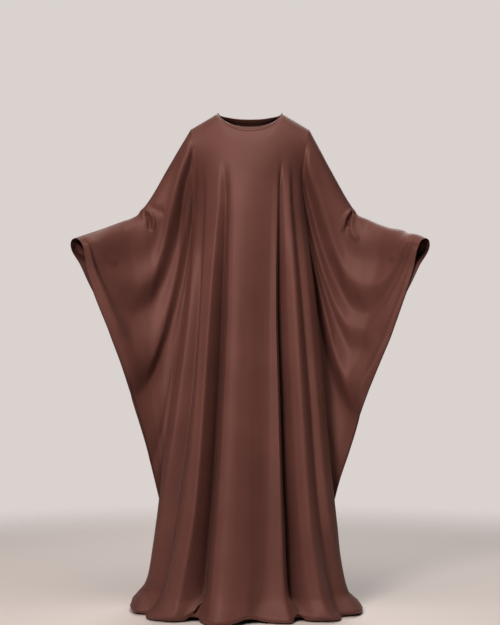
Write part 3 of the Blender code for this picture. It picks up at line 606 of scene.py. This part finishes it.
def swagHeight(side, face, point, out, level):
    # Each swag is a line z(x); between two of them the rise is a half wave from one line's
    # rise to the next one's, and it dies away above the first and below the last
    x = point[..., 0]
    z = point[..., 2]
    lines = []
    rises = []
    for heights, lineRises in wings["swags"][(side, face)]:
        lines.append(curveThrough(wings["swagOuts"], heights, x))
        rises.append(curveThrough(wings["riseOuts"], lineRises, x))
    rise = rises[0] * hump(np.maximum(z - lines[0], 0), wings["swagFade"])
    for k in range(len(lines) - 1):
        part = (lines[k] - z) / (lines[k] - lines[k + 1])
        between = rises[k] + (rises[k + 1] - rises[k]) * smoothStep(part)
        rise = np.where(z < lines[k], between, rise)
    rise = np.where(z < lines[-1], rises[-1] * hump(lines[-1] - z, wings["swagFade"]), rise)
    drop = body["topLevel"] - level
    place, width, height = wings["edgeRoll"]
    across, end, full = wings["edgeReach"]
    fromEdge = (1 - out) * across * (1 - drop / end)
    rise = rise + height * hump(fromEdge - place, width) * smoothStep(drop / full)
    fade, kept = wings["sideFade"]
    rise = rise * smoothStep(out / fade) * smoothStep((1 - out) / fade + kept)
    rise = rise + creaseHeight(side, face, x, z)
    near, far = wings["tipFade"]
    return rise * smoothStep((level - wings["tipHeight"] - near) / far)


def wingSurface(side, face, out, level):
    # The middle surface moved out by half the sleeve or pocket, plus the swags
    normal = gridNormals(wingMiddle(side, face, out, level), (0, -1, 0))
    middle = wingMiddle(side, face, out, level)
    arm = wings["arm"][side]
    edgeTop = wings["edge"]["rows"][-1][0]
    upper = column(arm, "height", out) + out * (edgeTop - column(arm, "height", 1.0))
    drop = np.maximum(upper - middle[..., 2], 0)
    atBody, atWrist = sleeve["radius"]
    radius = atBody + (atWrist - atBody) * out
    atBody, atWrist = sleeve["fall"]
    fall = atBody + (atWrist - atBody) * np.sqrt(out)
    nearBody = 1 - smoothStep(out / wings["bodyShare"])
    tube = wrap(drop, radius, fall)
    tube = tube + (armhole(level) - tube) * nearBody
    layerHalf, reach = wings["layerHalf"]
    least = wings["seamGap"] / 2
    least = least + (layerHalf - least) * smoothStep(drop / reach)
    parting, reach, tipReach = wings["pocketParting"]
    pocket = parting * 4 * out * (1 - out) * smoothStep(drop / reach)
    pocket = pocket * smoothStep((level - wings["tipHeight"]) / tipReach)
    half = np.hypot(tube, least) + pocket
    rise = swagHeight(side, face, middle, out, level)
    width, height, inStep, endStep = wings["turning"]
    slit = (body["topLevel"] - level) / (body["topLevel"] - wings["tipHeight"]) / wings["slitShare"]
    rise = rise + height * smoothStep((out - 1 + width) / inStep) * smoothStep((1 - slit) / endStep)
    forward = np.array([0.0, -1.0, 0.0])
    normal = normal + (forward - normal) * nearBody[..., None]
    normal = normal / np.linalg.norm(normal, axis=-1, keepdims=True)
    if face == "back":
        thin, reach = wings["ownSwags"]
        own = smoothStep((half - thin) / reach)
        rise = rise * own - swagHeight(side, "front", middle, out, level) * (1 - own)
        normal = -normal
    rise = rise * smoothStep(drop / wings["topFade"])
    point = middle + normal * (half + rise)[..., None]
    return point * np.array([-1.0 if side == "left" else 1.0, 1.0, 1.0])


def addMesh(name, vertices, quads, uv, material, tone=None):
    # Whole arrays of corners and four-sided faces put into a mesh, with its cloth map and the tone that
    # carries painted shade
    mesh = bpy.data.meshes.new(name)
    mesh.vertices.add(len(vertices))
    mesh.vertices.foreach_set("co", np.asarray(vertices, np.float32).ravel())
    mesh.loops.add(len(quads) * 4)
    mesh.loops.foreach_set("vertex_index", np.asarray(quads, np.int32).ravel())
    mesh.polygons.add(len(quads))
    mesh.polygons.foreach_set("loop_start", np.arange(0, len(quads) * 4, 4, dtype=np.int32))
    mesh.update(calc_edges=True)
    if uv is not None:
        layer = mesh.uv_layers.new(name="clothMap")
        layer.data.foreach_set("uv", np.asarray(uv, np.float32)[quads.ravel()].ravel())
    if tone is not None:
        layer = mesh.attributes.new("tone", "FLOAT", "POINT")
        layer.data.foreach_set("value", np.asarray(tone, np.float32).ravel())
    mesh.validate()
    mesh.shade_smooth()
    mesh.set_sharp_from_angle(angle=np.radians(60))
    mesh.materials.append(material)
    thing = bpy.data.objects.new(name, mesh)
    bpy.context.scene.collection.objects.link(thing)
    return thing


def clothShell(name, points, normals, thickness, cloth, tone, material):
    # The outer grid, the same grid moved in by the thickness, and a rim joining them
    across, down = points.shape[:2]
    inner = points - normals * thickness
    vertices = np.concatenate([points.reshape(-1, 3), inner.reshape(-1, 3)])
    count = across * down
    index = np.arange(count).reshape(across, down)
    a, b, c, d = index[:-1, :-1], index[1:, :-1], index[1:, 1:], index[:-1, 1:]
    outer = np.stack([a.ravel(), b.ravel(), c.ravel(), d.ravel()], -1)
    rim = np.concatenate([index[:, 0], index[-1, 1:], index[-2::-1, -1], index[0, -2:0:-1]])
    after = np.roll(rim, -1)
    sides = np.stack([rim, rim + count, after + count, after], -1)
    quads = np.concatenate([outer, (outer + count)[:, ::-1], sides])
    first = vertices[quads[0]]
    if np.dot(np.cross(first[1] - first[0], first[2] - first[0]), normals[0, 0]) < 0:
        quads = quads[:, ::-1]
    uv = np.concatenate([cloth.reshape(-1, 2)] * 2)
    # The inner side is painted with the shade of a deep fold, as it sees little light
    tones = np.concatenate([tone.ravel(), np.zeros(count)])
    return addMesh(name, vertices, quads, uv, material, tones)


# Colours are written as the eye sees them and turned to linear values here
def linear(hexColour):
    # ((v + 0.055) / 1.055) ^ 2.4, or v / 12.92 where v is dark
    parts = np.array([int(hexColour[i:i + 2], 16) for i in (1, 3, 5)]) / 255.0
    low = parts / 12.92
    high = ((parts + 0.055) / 1.055) ** 2.4
    return (*np.where(parts <= 0.04045, low, high), 1.0)


def addNode(tree, kind, settings, links):
    # A node with its settings; a link is from another node's output to one of its inputs
    node = tree.nodes.new(kind)
    for name, value in settings.items():
        if hasattr(node, name):
            setattr(node, name, value)
        else:
            node.inputs[name].default_value = value
    for name, source in links.items():
        tree.links.new(source, node.inputs[name])
    return node


# Satin-backed crepe: polyester filament yarn, twisted hard and woven fine, piece dyed.
# The eye gets a soft broad gloss on the crests, a fine pebbled grain close up and almost
# no texture from a step away.
clothFinish = {
    "deep": "#5c3a33",
    "pale": "#644039",
    "roughness": 0.56,
    "specular": 0.52,
    "glossTint": "#e0b8ae",
    "sheen": 0.08,
    "sheenRoughness": 0.35,
    "sheenTint": "#c9a097",
    "grain": 0.0022,          # real crepe grain is 0.4 mm, drawn coarser so that it shows
    "grainHeight": 0.00006,
    "shadeSize": 0.16,
    "shadeRange": (0.35, 0.65),
    "paintedShadeFactor": 0.54,       # painted shade: the colour in the deepest folds is scaled down to this share
    "creaseSize": (0.060, 0.70, 1.0),       # across and down the cloth
    "creaseHeight": 0.0028,
    "creaseStart": (-0.10, -0.55),          # the chest and shoulders are stretched smooth
    "creaseLeast": 0.15,
}


# Bias binding of the same crepe, cut at 45 degrees and pressed: the eye gets a flatter,
# slightly deeper band with the grain running across it.
bindingFinish = dict(
    clothFinish,
    deep="#56362f",
    pale="#5f3d35",
    roughness=0.60,
    sheen=0.05,
    creaseSize=(0.012, 0.020, 1.0),
    creaseHeight=0.0003,
    creaseStart=(2.0, 1.0),
)


# Spun polyester sewing thread, two ply: the eye gets small round dashes a shade lighter
# than the cloth, with a fine twist.
threadFinish = {
    "colour": "#7b5247",
    "roughness": 0.42,
    "sheen": 0.20,
    "twist": 0.0007,           # real twist is 0.3 mm, drawn coarser so that it shows
    "twistHeight": 0.00008,
}


def crepeMaterial(name, finish):
    # Two close browns in soft clouds, with painted shade in deep folds, under drawn creases and a fine
    # grain
    material = bpy.data.materials.new(name)
    material.use_nodes = True
    tree = material.node_tree
    shader = tree.nodes["Principled BSDF"]
    place = addNode(tree, "ShaderNodeTexCoord", {}, {}).outputs["Object"]
    shade = addNode(
        tree, "ShaderNodeTexNoise", {"Scale": 1 / finish["shadeSize"], "Detail": 3.0}, {"Vector": place}
    )
    tone = addNode(tree, "ShaderNodeValToRGB", {}, {"Fac": shade.outputs["Fac"]})
    for stop, share, colour in zip(tone.color_ramp.elements, finish["shadeRange"], ("deep", "pale")):
        stop.position = share
        stop.color = linear(finish[colour])
    # Painted shade: the tone attribute scales the colour down in deep folds and on the inner sides
    fold = addNode(tree, "ShaderNodeAttribute", {"attribute_name": "tone"}, {})
    depth = addNode(
        tree,
        "ShaderNodeMapRange",
        {"To Min": finish["paintedShadeFactor"], "To Max": 1.0},
        {"Value": fold.outputs["Fac"]},
    )
    dyedAndShaded = addNode(
        tree,
        "ShaderNodeVectorMath",
        {"operation": "SCALE"},
        {"Vector": tone.outputs["Color"], "Scale": depth.outputs["Result"]},
    )
    tree.links.new(dyedAndShaded.outputs["Vector"], shader.inputs["Base Color"])
    grain = addNode(
        tree, "ShaderNodeTexNoise", {"Scale": 1 / finish["grain"], "Detail": 2.0}, {"Vector": place}
    )
    cloth = addNode(tree, "ShaderNodeUVMap", {"uv_map": "clothMap"}, {}).outputs["UV"]
    drawn = addNode(tree, "ShaderNodeVectorMath", {"operation": "DIVIDE"}, {"Vector": cloth})
    drawn.inputs[1].default_value = finish["creaseSize"]
    small = addNode(
        tree, "ShaderNodeTexNoise", {"Scale": 1.0, "Detail": 2.0}, {"Vector": drawn.outputs["Vector"]}
    )
    down = addNode(tree, "ShaderNodeSeparateXYZ", {}, {"Vector": cloth}).outputs["Y"]
    near, far = finish["creaseStart"]
    fading = addNode(
        tree,
        "ShaderNodeMapRange",
        {"From Min": near, "From Max": far, "To Min": finish["creaseLeast"], "To Max": 1.0},
        {"Value": down},
    )
    creased = addNode(
        tree,
        "ShaderNodeBump",
        {"Distance": finish["creaseHeight"]},
        {"Height": small.outputs["Fac"], "Strength": fading.outputs["Result"]},
    )
    relief = addNode(
        tree,
        "ShaderNodeBump",
        {"Distance": finish["grainHeight"], "Strength": 1.0},
        {"Height": grain.outputs["Fac"], "Normal": creased.outputs["Normal"]},
    )
    tree.links.new(relief.outputs["Normal"], shader.inputs["Normal"])
    shader.inputs["Roughness"].default_value = finish["roughness"]
    shader.inputs["Specular IOR Level"].default_value = finish["specular"]
    shader.inputs["Specular Tint"].default_value = linear(finish["glossTint"])
    shader.inputs["Sheen Weight"].default_value = finish["sheen"]
    shader.inputs["Sheen Roughness"].default_value = finish["sheenRoughness"]
    shader.inputs["Sheen Tint"].default_value = linear(finish["sheenTint"])
    return material


def threadMaterial(name, finish):
    # One colour under a fine twist; a band wave of scale 1 repeats every 0.314 of its coordinate
    material = bpy.data.materials.new(name)
    material.use_nodes = True
    tree = material.node_tree
    shader = tree.nodes["Principled BSDF"]
    shader.inputs["Base Color"].default_value = linear(finish["colour"])
    shader.inputs["Roughness"].default_value = finish["roughness"]
    shader.inputs["Sheen Weight"].default_value = finish["sheen"]
    place = addNode(tree, "ShaderNodeTexCoord", {}, {}).outputs["Object"]
    ply = addNode(
        tree,
        "ShaderNodeTexWave",
        {"Scale": 0.314 / finish["twist"], "wave_type": "BANDS", "bands_direction": "DIAGONAL"},
        {"Vector": place},
    )
    relief = addNode(
        tree, "ShaderNodeBump", {"Distance": finish["twistHeight"]}, {"Height": ply.outputs["Fac"]}
    )
    tree.links.new(relief.outputs["Normal"], shader.inputs["Normal"])
    return material


crepe = crepeMaterial("satin_backed_crepe", clothFinish)
biasCrepe = crepeMaterial("bias_cut_crepe", bindingFinish)
thread = threadMaterial("spun_polyester_thread", threadFinish)
print("materials made")


# Straight lockstitch along the hem, the cuffs and the binding. Each panel adds the lines that
# its stitches follow.
stitching = {
    "pitch": 0.0034,
    "length": 0.0026,
    "width": 0.00055,
    "height": 0.00045,
    "ends": (-0.5, -0.30, 0.30, 0.5),      # places along one stitch, as shares of its length
    "fullness": (0.15, 1.0, 1.0, 0.15),    # how thick it is at each of them
    "lookAhead": 0.001,                    # this far along gives the way a stitch points
    "hemInset": 0.013,
    "cuffColumns": 3,
    "slitShare": 0.97,                     # the cuff row stops just short of the slit's end
}


stitchLines = []


def crowdTop(share):
    # Rows a fifth as far apart at the very top: s - 0.8 * s * exp(-s / 0.02)
    return share - 0.8 * share * np.exp(-share / 0.02)


def bodyLevels():
    # Rows closer together at both ends: s - crowding * sin(2 pi s) / (2 pi), then crowdTop
    share = np.linspace(0, 1, body["downCount"])
    share = share - body["rowCrowding"] * np.sin(2 * np.pi * share) / (2 * np.pi)
    return body["topLevel"] + crowdTop(share) * (body["footLevel"] - body["topLevel"])


def makeBody(face):
    # One panel: bodySurface on a grid, with painted shade where the folds are deep, and its hem stitch
    # line
    u, level = np.meshgrid(np.linspace(-1, 1, body["acrossCount"]), bodyLevels(), indexing="ij")
    points = bodySurface(face, u, level)
    normals = gridNormals(points, (0, -1 if face == "front" else 1, 0))
    row = int(np.argmin(np.abs(level[0] - body["footLevel"] - stitching["hemInset"])))
    stitchLines.append(("hem", points[2:-2, row], normals[2:-2, row]))
    cloth = np.stack([u * body["mapHalf"], level], -1)
    # Painted shade: the tone falls from 1 to 0 as the folds deepen, and darkens the colour there
    rise = foldRise(face, u, level)[0]
    deepest, shallow = body["paintedShadeRise"]
    tone = smoothStep((rise - deepest) / (shallow - deepest))
    return clothShell(f"cloth_body_{face}", points, normals, body["thickness"], cloth, tone, crepe)


def wingLevels():
    # Rows closer together in the sleeve: s - crowding * sin(pi s) / pi, then crowdTop
    share = np.linspace(0, 1, wings["downCount"])
    share = share - wings["rowCrowding"] * np.sin(np.pi * share) / np.pi
    return body["topLevel"] + crowdTop(share) * (wings["tipHeight"] - body["topLevel"])


def makeWing(side, face):
    # One panel: wingSurface on a grid, with the stitch line along its cuff
    out, level = np.meshgrid(np.linspace(0, 1, wings["acrossCount"]), wingLevels(), indexing="ij")
    points = wingSurface(side, face, out, level)
    normals = gridNormals(points, (0, -1 if face == "front" else 1, 0))
    cloth = np.stack([out * wings["mapWidth"], level], -1)
    slit = stitching["slitShare"] * wings["slitShare"] * (wings["tipHeight"] - body["topLevel"])
    slitRows = level[0] > body["topLevel"] + slit
    edge = wings["acrossCount"] - 1 - stitching["cuffColumns"]
    stitchLines.append(("cuff", points[edge, slitRows], normals[edge, slitRows]))
    tone = np.ones_like(out)
    return clothShell(f"cloth_{side}_wing_{face}", points, normals, wings["thickness"], cloth, tone, crepe)


for face in ("front", "back"):
    panel = makeBody(face)
    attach(panel, bodyName)
    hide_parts(f"body_{face}")
print("body made")

for side in ("left", "right"):
    for face in ("front", "back"):
        wing = makeWing(side, face)
        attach(wing, bodyName)
        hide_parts(f"{side}_wing_{face}")
print("wings made")


# Neck binding: a strip folded over the neck edge, as seen in section. Distance from the
# middle of the edge outwards, then height above it
binding = {
    "pathCount": 150,
    "neckShare": 0.9999,                   # each half stops just short of the neck corners
    "stepsDown": (0.0, 0.003, 0.006),      # rows of the cloth below the edge that give its slope
    "smoothing": 10,
    "cornerDrop": (0.80, 0.020),           # how much narrower it shows at the shoulder, how near
    "thickness": 0.0006,
    "section": [
        (-0.0017, -0.0030), (-0.0019, -0.0010), (-0.0018, 0.0030), (-0.0017, 0.0070), (-0.0014, 0.0097),
        (-0.0008, 0.0110), (0.0, 0.0114), (0.0008, 0.0110), (0.0015, 0.0097), (0.0020, 0.0070),
        (0.0022, 0.0045), (0.0019, 0.0012), (0.0017, -0.0004), (0.0020, -0.0020), (0.0018, -0.0036),
    ],
    "stitchPoint": 12,
    "pucker": (0.0068, 0.0003, 31.0),      # length of the small puckers, height, how they vary
}


def neckPath(face, across):
    # The neck edge of one panel, with its outward normal and the way up along the cloth
    top = np.radians(column(body, "seamAngle", body["topLevel"]))
    share = np.arcsin(across / body["shoulderHalf"] * np.sin(top)) / top
    shares, level = np.meshgrid(share, body["topLevel"] - np.array(binding["stepsDown"]), indexing="ij")
    points = bodyForm(face, shares, level)
    normals = gridNormals(points, (0, -1 if face == "front" else 1, 0.5))
    return points[:, 0], normals[:, 0], points[:, 0] - points[:, 1]


def unit(vectors):
    # Each vector divided by its length
    return vectors / np.maximum(np.linalg.norm(vectors, axis=-1, keepdims=True), 1e-12)


def makeBinding():
    # The section carried along the neck edge: edge + outward * offset + rise * height
    turn = np.linspace(-np.pi / 2, np.pi / 2, binding["pathCount"])
    across = body["neckHalf"] * np.sin(turn) * binding["neckShare"]
    front = neckPath("front", across)
    back = neckPath("back", across[::-1])
    path, outward, rise = (np.concatenate([a, b[1:]]) for a, b in zip(front, back))
    path = path - outward * body["thickness"] / 2
    # Directions are averaged over their neighbours, so that the strip turns the corners smoothly
    for _ in range(binding["smoothing"]):
        for way in (outward, rise):
            ring = way[:-1]
            way[:-1] = unit((np.roll(ring, 1, axis=0) + ring * 2 + np.roll(ring, -1, axis=0)) / 4)
            way[-1] = way[0]
    rise = unit(rise - outward * np.sum(rise * outward, axis=-1, keepdims=True))
    narrower, reach = binding["cornerDrop"]
    lower = 1 - narrower * hump(body["neckHalf"] - np.abs(path[:, 0]), reach)
    section = np.array(binding["section"])
    steps = np.linalg.norm(np.diff(path, axis=0), axis=1)
    along = np.concatenate([[0.0], np.cumsum(steps)])
    size, height, change = binding["pucker"]
    wave = height * np.sin(2 * np.pi * along / size) * np.sin(along * change)
    swell = np.sin(np.pi * np.linspace(0, 1, len(section)))
    offset = section[None, :, 0] + np.sign(section[None, :, 0]) * wave[:, None] * swell[None, :]
    across = outward[:, None] * offset[..., None]
    upward = (rise * lower[:, None])[:, None] * section[None, :, 1, None]
    points = path[:, None] + across + upward
    normals = gridNormals(points, outward[0])
    middle = points.mean(axis=1, keepdims=True)
    if np.sum((points - middle) * normals) < 0:
        normals = -normals
    lap = np.concatenate([[0.0], np.cumsum(np.linalg.norm(np.diff(section, axis=0), axis=1))])
    cloth = np.stack(np.meshgrid(along, lap, indexing="ij"), -1)
    seam = binding["stitchPoint"]
    stitchLines.append(("neck", points[:-1, seam], normals[:-1, seam]))
    tone = np.ones(points.shape[:2])
    return clothShell("cloth_neck_binding", points, normals, binding["thickness"], cloth, tone, biasCrepe)


def makeStitches(name, lines):
    # A spindle of four sides for each stitch, its ends just under the cloth
    ends = np.array(stitching["ends"])
    fullness = np.array(stitching["fullness"])
    corners = np.array([(1.0, 0.0), (0.0, 1.0), (-1.0, 0.0), (0.0, -1.0)])
    pieces = []
    for points, normals in lines:
        steps = np.linalg.norm(np.diff(points, axis=0), axis=1)
        along = np.concatenate([[0.0], np.cumsum(steps)])
        at = np.arange(stitching["pitch"], along[-1] - stitching["pitch"], stitching["pitch"])
        middle = np.stack([np.interp(at, along, points[:, k]) for k in range(3)], -1)
        normal = unit(np.stack([np.interp(at, along, normals[:, k]) for k in range(3)], -1))
        later = at + stitching["lookAhead"]
        ahead = np.stack([np.interp(later, along, points[:, k]) for k in range(3)], -1)
        ahead = unit(ahead - middle)
        aside = np.cross(normal, ahead)
        length = ahead[:, None, None] * (ends * stitching["length"])[None, :, None, None]
        girth = fullness[None, :, None, None]
        wide = aside[:, None, None] * corners[None, None, :, :1] * girth * stitching["width"] / 2
        high = normal[:, None, None] * corners[None, None, :, 1:] * girth * stitching["height"] / 2
        dip = normal[:, None, None] * (fullness - 1.0)[None, :, None, None] * stitching["height"] / 2
        pieces.append((middle[:, None, None] + length + wide + high + dip).reshape(-1, 3))
    vertices = np.concatenate(pieces)
    ring = np.arange(4)
    after = np.roll(ring, -1)
    band = np.stack([ring, after, after + 4, ring + 4], -1)
    sides = [band + 4 * k for k in range(3)]
    one = np.concatenate(sides + [ring[None, ::-1], ring[None] + 12])
    quads = (one[None] + 16 * np.arange(len(vertices) // 16)[:, None, None]).reshape(-1, 4)
    stitches = addMesh(name, vertices, quads, None, thread)
    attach(stitches, bodyName)
    return stitches


trim = makeBinding()
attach(trim, bodyName)
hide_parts("neck_binding")
for kind, slotName in (("neck", "binding"), ("hem", "satin_crepe"), ("cuff", "satin_crepe")):
    lines = [(points, normals) for lineKind, points, normals in stitchLines if lineKind == kind]
    makeStitches(f"{kind}_stitches", lines)
print("binding and stitches made")


# Plain studio: a pale floor, a soft key high in front at the left, a broad lamp overhead and
# one behind that lights the floor. Each light has a name, place, size, power and colour.
studio = {
    "floor": "#e2dad4",
    "floorHeight": -1.455,
    "floorRoughness": 0.45,
    "floorRadius": (1.5, 2.7),       # solid to the first, faded out at the second
    "backdrop": "#dad2cf",
    "ambient": 0.07,
    "lights": [
        ("key", (-1.05, -2.9, 0.75), 0.8, 74.0, "#ffeeea"),
        ("top", (0.1, -1.2, 2.3), 1.8, 58.0, "#fff6f2"),
        ("behind", (0.3, 2.4, 1.6), 2.0, 70.0, "#ffffff"),
    ],
    "aim": (0.0, 0.0, -0.65),
    "camera": (0.0, -4.0, -0.682),
    "sensor": 36.0,
    "focal": 78.1056,
    "shift": 0.052,
}


def aimAt(thing, target):
    # Turned so that its -Z axis points at the target
    away = Vector(target) - thing.location
    thing.rotation_euler = away.to_track_quat("-Z", "Y").to_euler()


def makeFloor():
    # A square whose paint fades out from a solid middle: its edge never shows
    half = studio["floorRadius"][1]
    corners = [(-half, -half), (half, -half), (half, half), (-half, half)]
    vertices = np.array([(x, y, studio["floorHeight"]) for x, y in corners])
    paint = bpy.data.materials.new("matt_floor_paint")
    paint.use_nodes = True
    tree = paint.node_tree
    shader = tree.nodes["Principled BSDF"]
    shader.inputs["Base Color"].default_value = linear(studio["floor"])
    shader.inputs["Roughness"].default_value = studio["floorRoughness"]
    place = addNode(tree, "ShaderNodeTexCoord", {}, {}).outputs["Object"]
    flat = addNode(tree, "ShaderNodeVectorMath", {"operation": "MULTIPLY"}, {"Vector": place})
    flat.inputs[1].default_value = (1.0, 1.0, 0.0)
    away = addNode(
        tree, "ShaderNodeVectorMath", {"operation": "LENGTH"}, {"Vector": flat.outputs["Vector"]}
    )
    near, far = studio["floorRadius"]
    fading = {"From Min": near, "From Max": far, "To Min": 1.0, "To Max": 0.0}
    fade = addNode(
        tree,
        "ShaderNodeMapRange",
        {"interpolation_type": "SMOOTHSTEP", **fading},
        {"Value": away.outputs["Value"]},
    )
    tree.links.new(fade.outputs["Result"], shader.inputs["Alpha"])
    addMesh("floor", vertices, np.array([[0, 1, 2, 3]]), None, paint)


def makeStudio():
    # Area lamps aimed at the middle of the robe, a pale backdrop and a camera level with it
    makeFloor()
    for name, place, size, power, colour in studio["lights"]:
        lamp = bpy.data.lights.new(name, "AREA")
        lamp.size = size
        lamp.energy = power
        lamp.color = linear(colour)[:3]
        thing = bpy.data.objects.new(name, lamp)
        bpy.context.scene.collection.objects.link(thing)
        thing.location = place
        aimAt(thing, studio["aim"])
    # The backdrop is seen at its own brightness and lights the cloth at the ambient share
    world = bpy.data.worlds.new("pale_room")
    world.use_nodes = True
    tree = world.node_tree
    background = tree.nodes["Background"]
    background.inputs["Color"].default_value = linear(studio["backdrop"])
    seen = addNode(tree, "ShaderNodeLightPath", {}, {}).outputs["Is Camera Ray"]
    strength = addNode(
        tree, "ShaderNodeMapRange", {"To Min": studio["ambient"], "To Max": 1.0}, {"Value": seen}
    )
    tree.links.new(strength.outputs["Result"], background.inputs["Strength"])
    bpy.context.scene.world = world
    eye = bpy.data.cameras.new("camera")
    eye.lens = studio["focal"]
    eye.sensor_width = studio["sensor"]
    eye.shift_y = studio["shift"]
    camera = bpy.data.objects.new("camera", eye)
    bpy.context.scene.collection.objects.link(camera)
    camera.location = studio["camera"]
    camera.rotation_euler = (np.pi / 2, 0.0, 0.0)
    bpy.context.scene.camera = camera
    bpy.context.scene.view_settings.view_transform = "Standard"


makeStudio()
print("studio made")
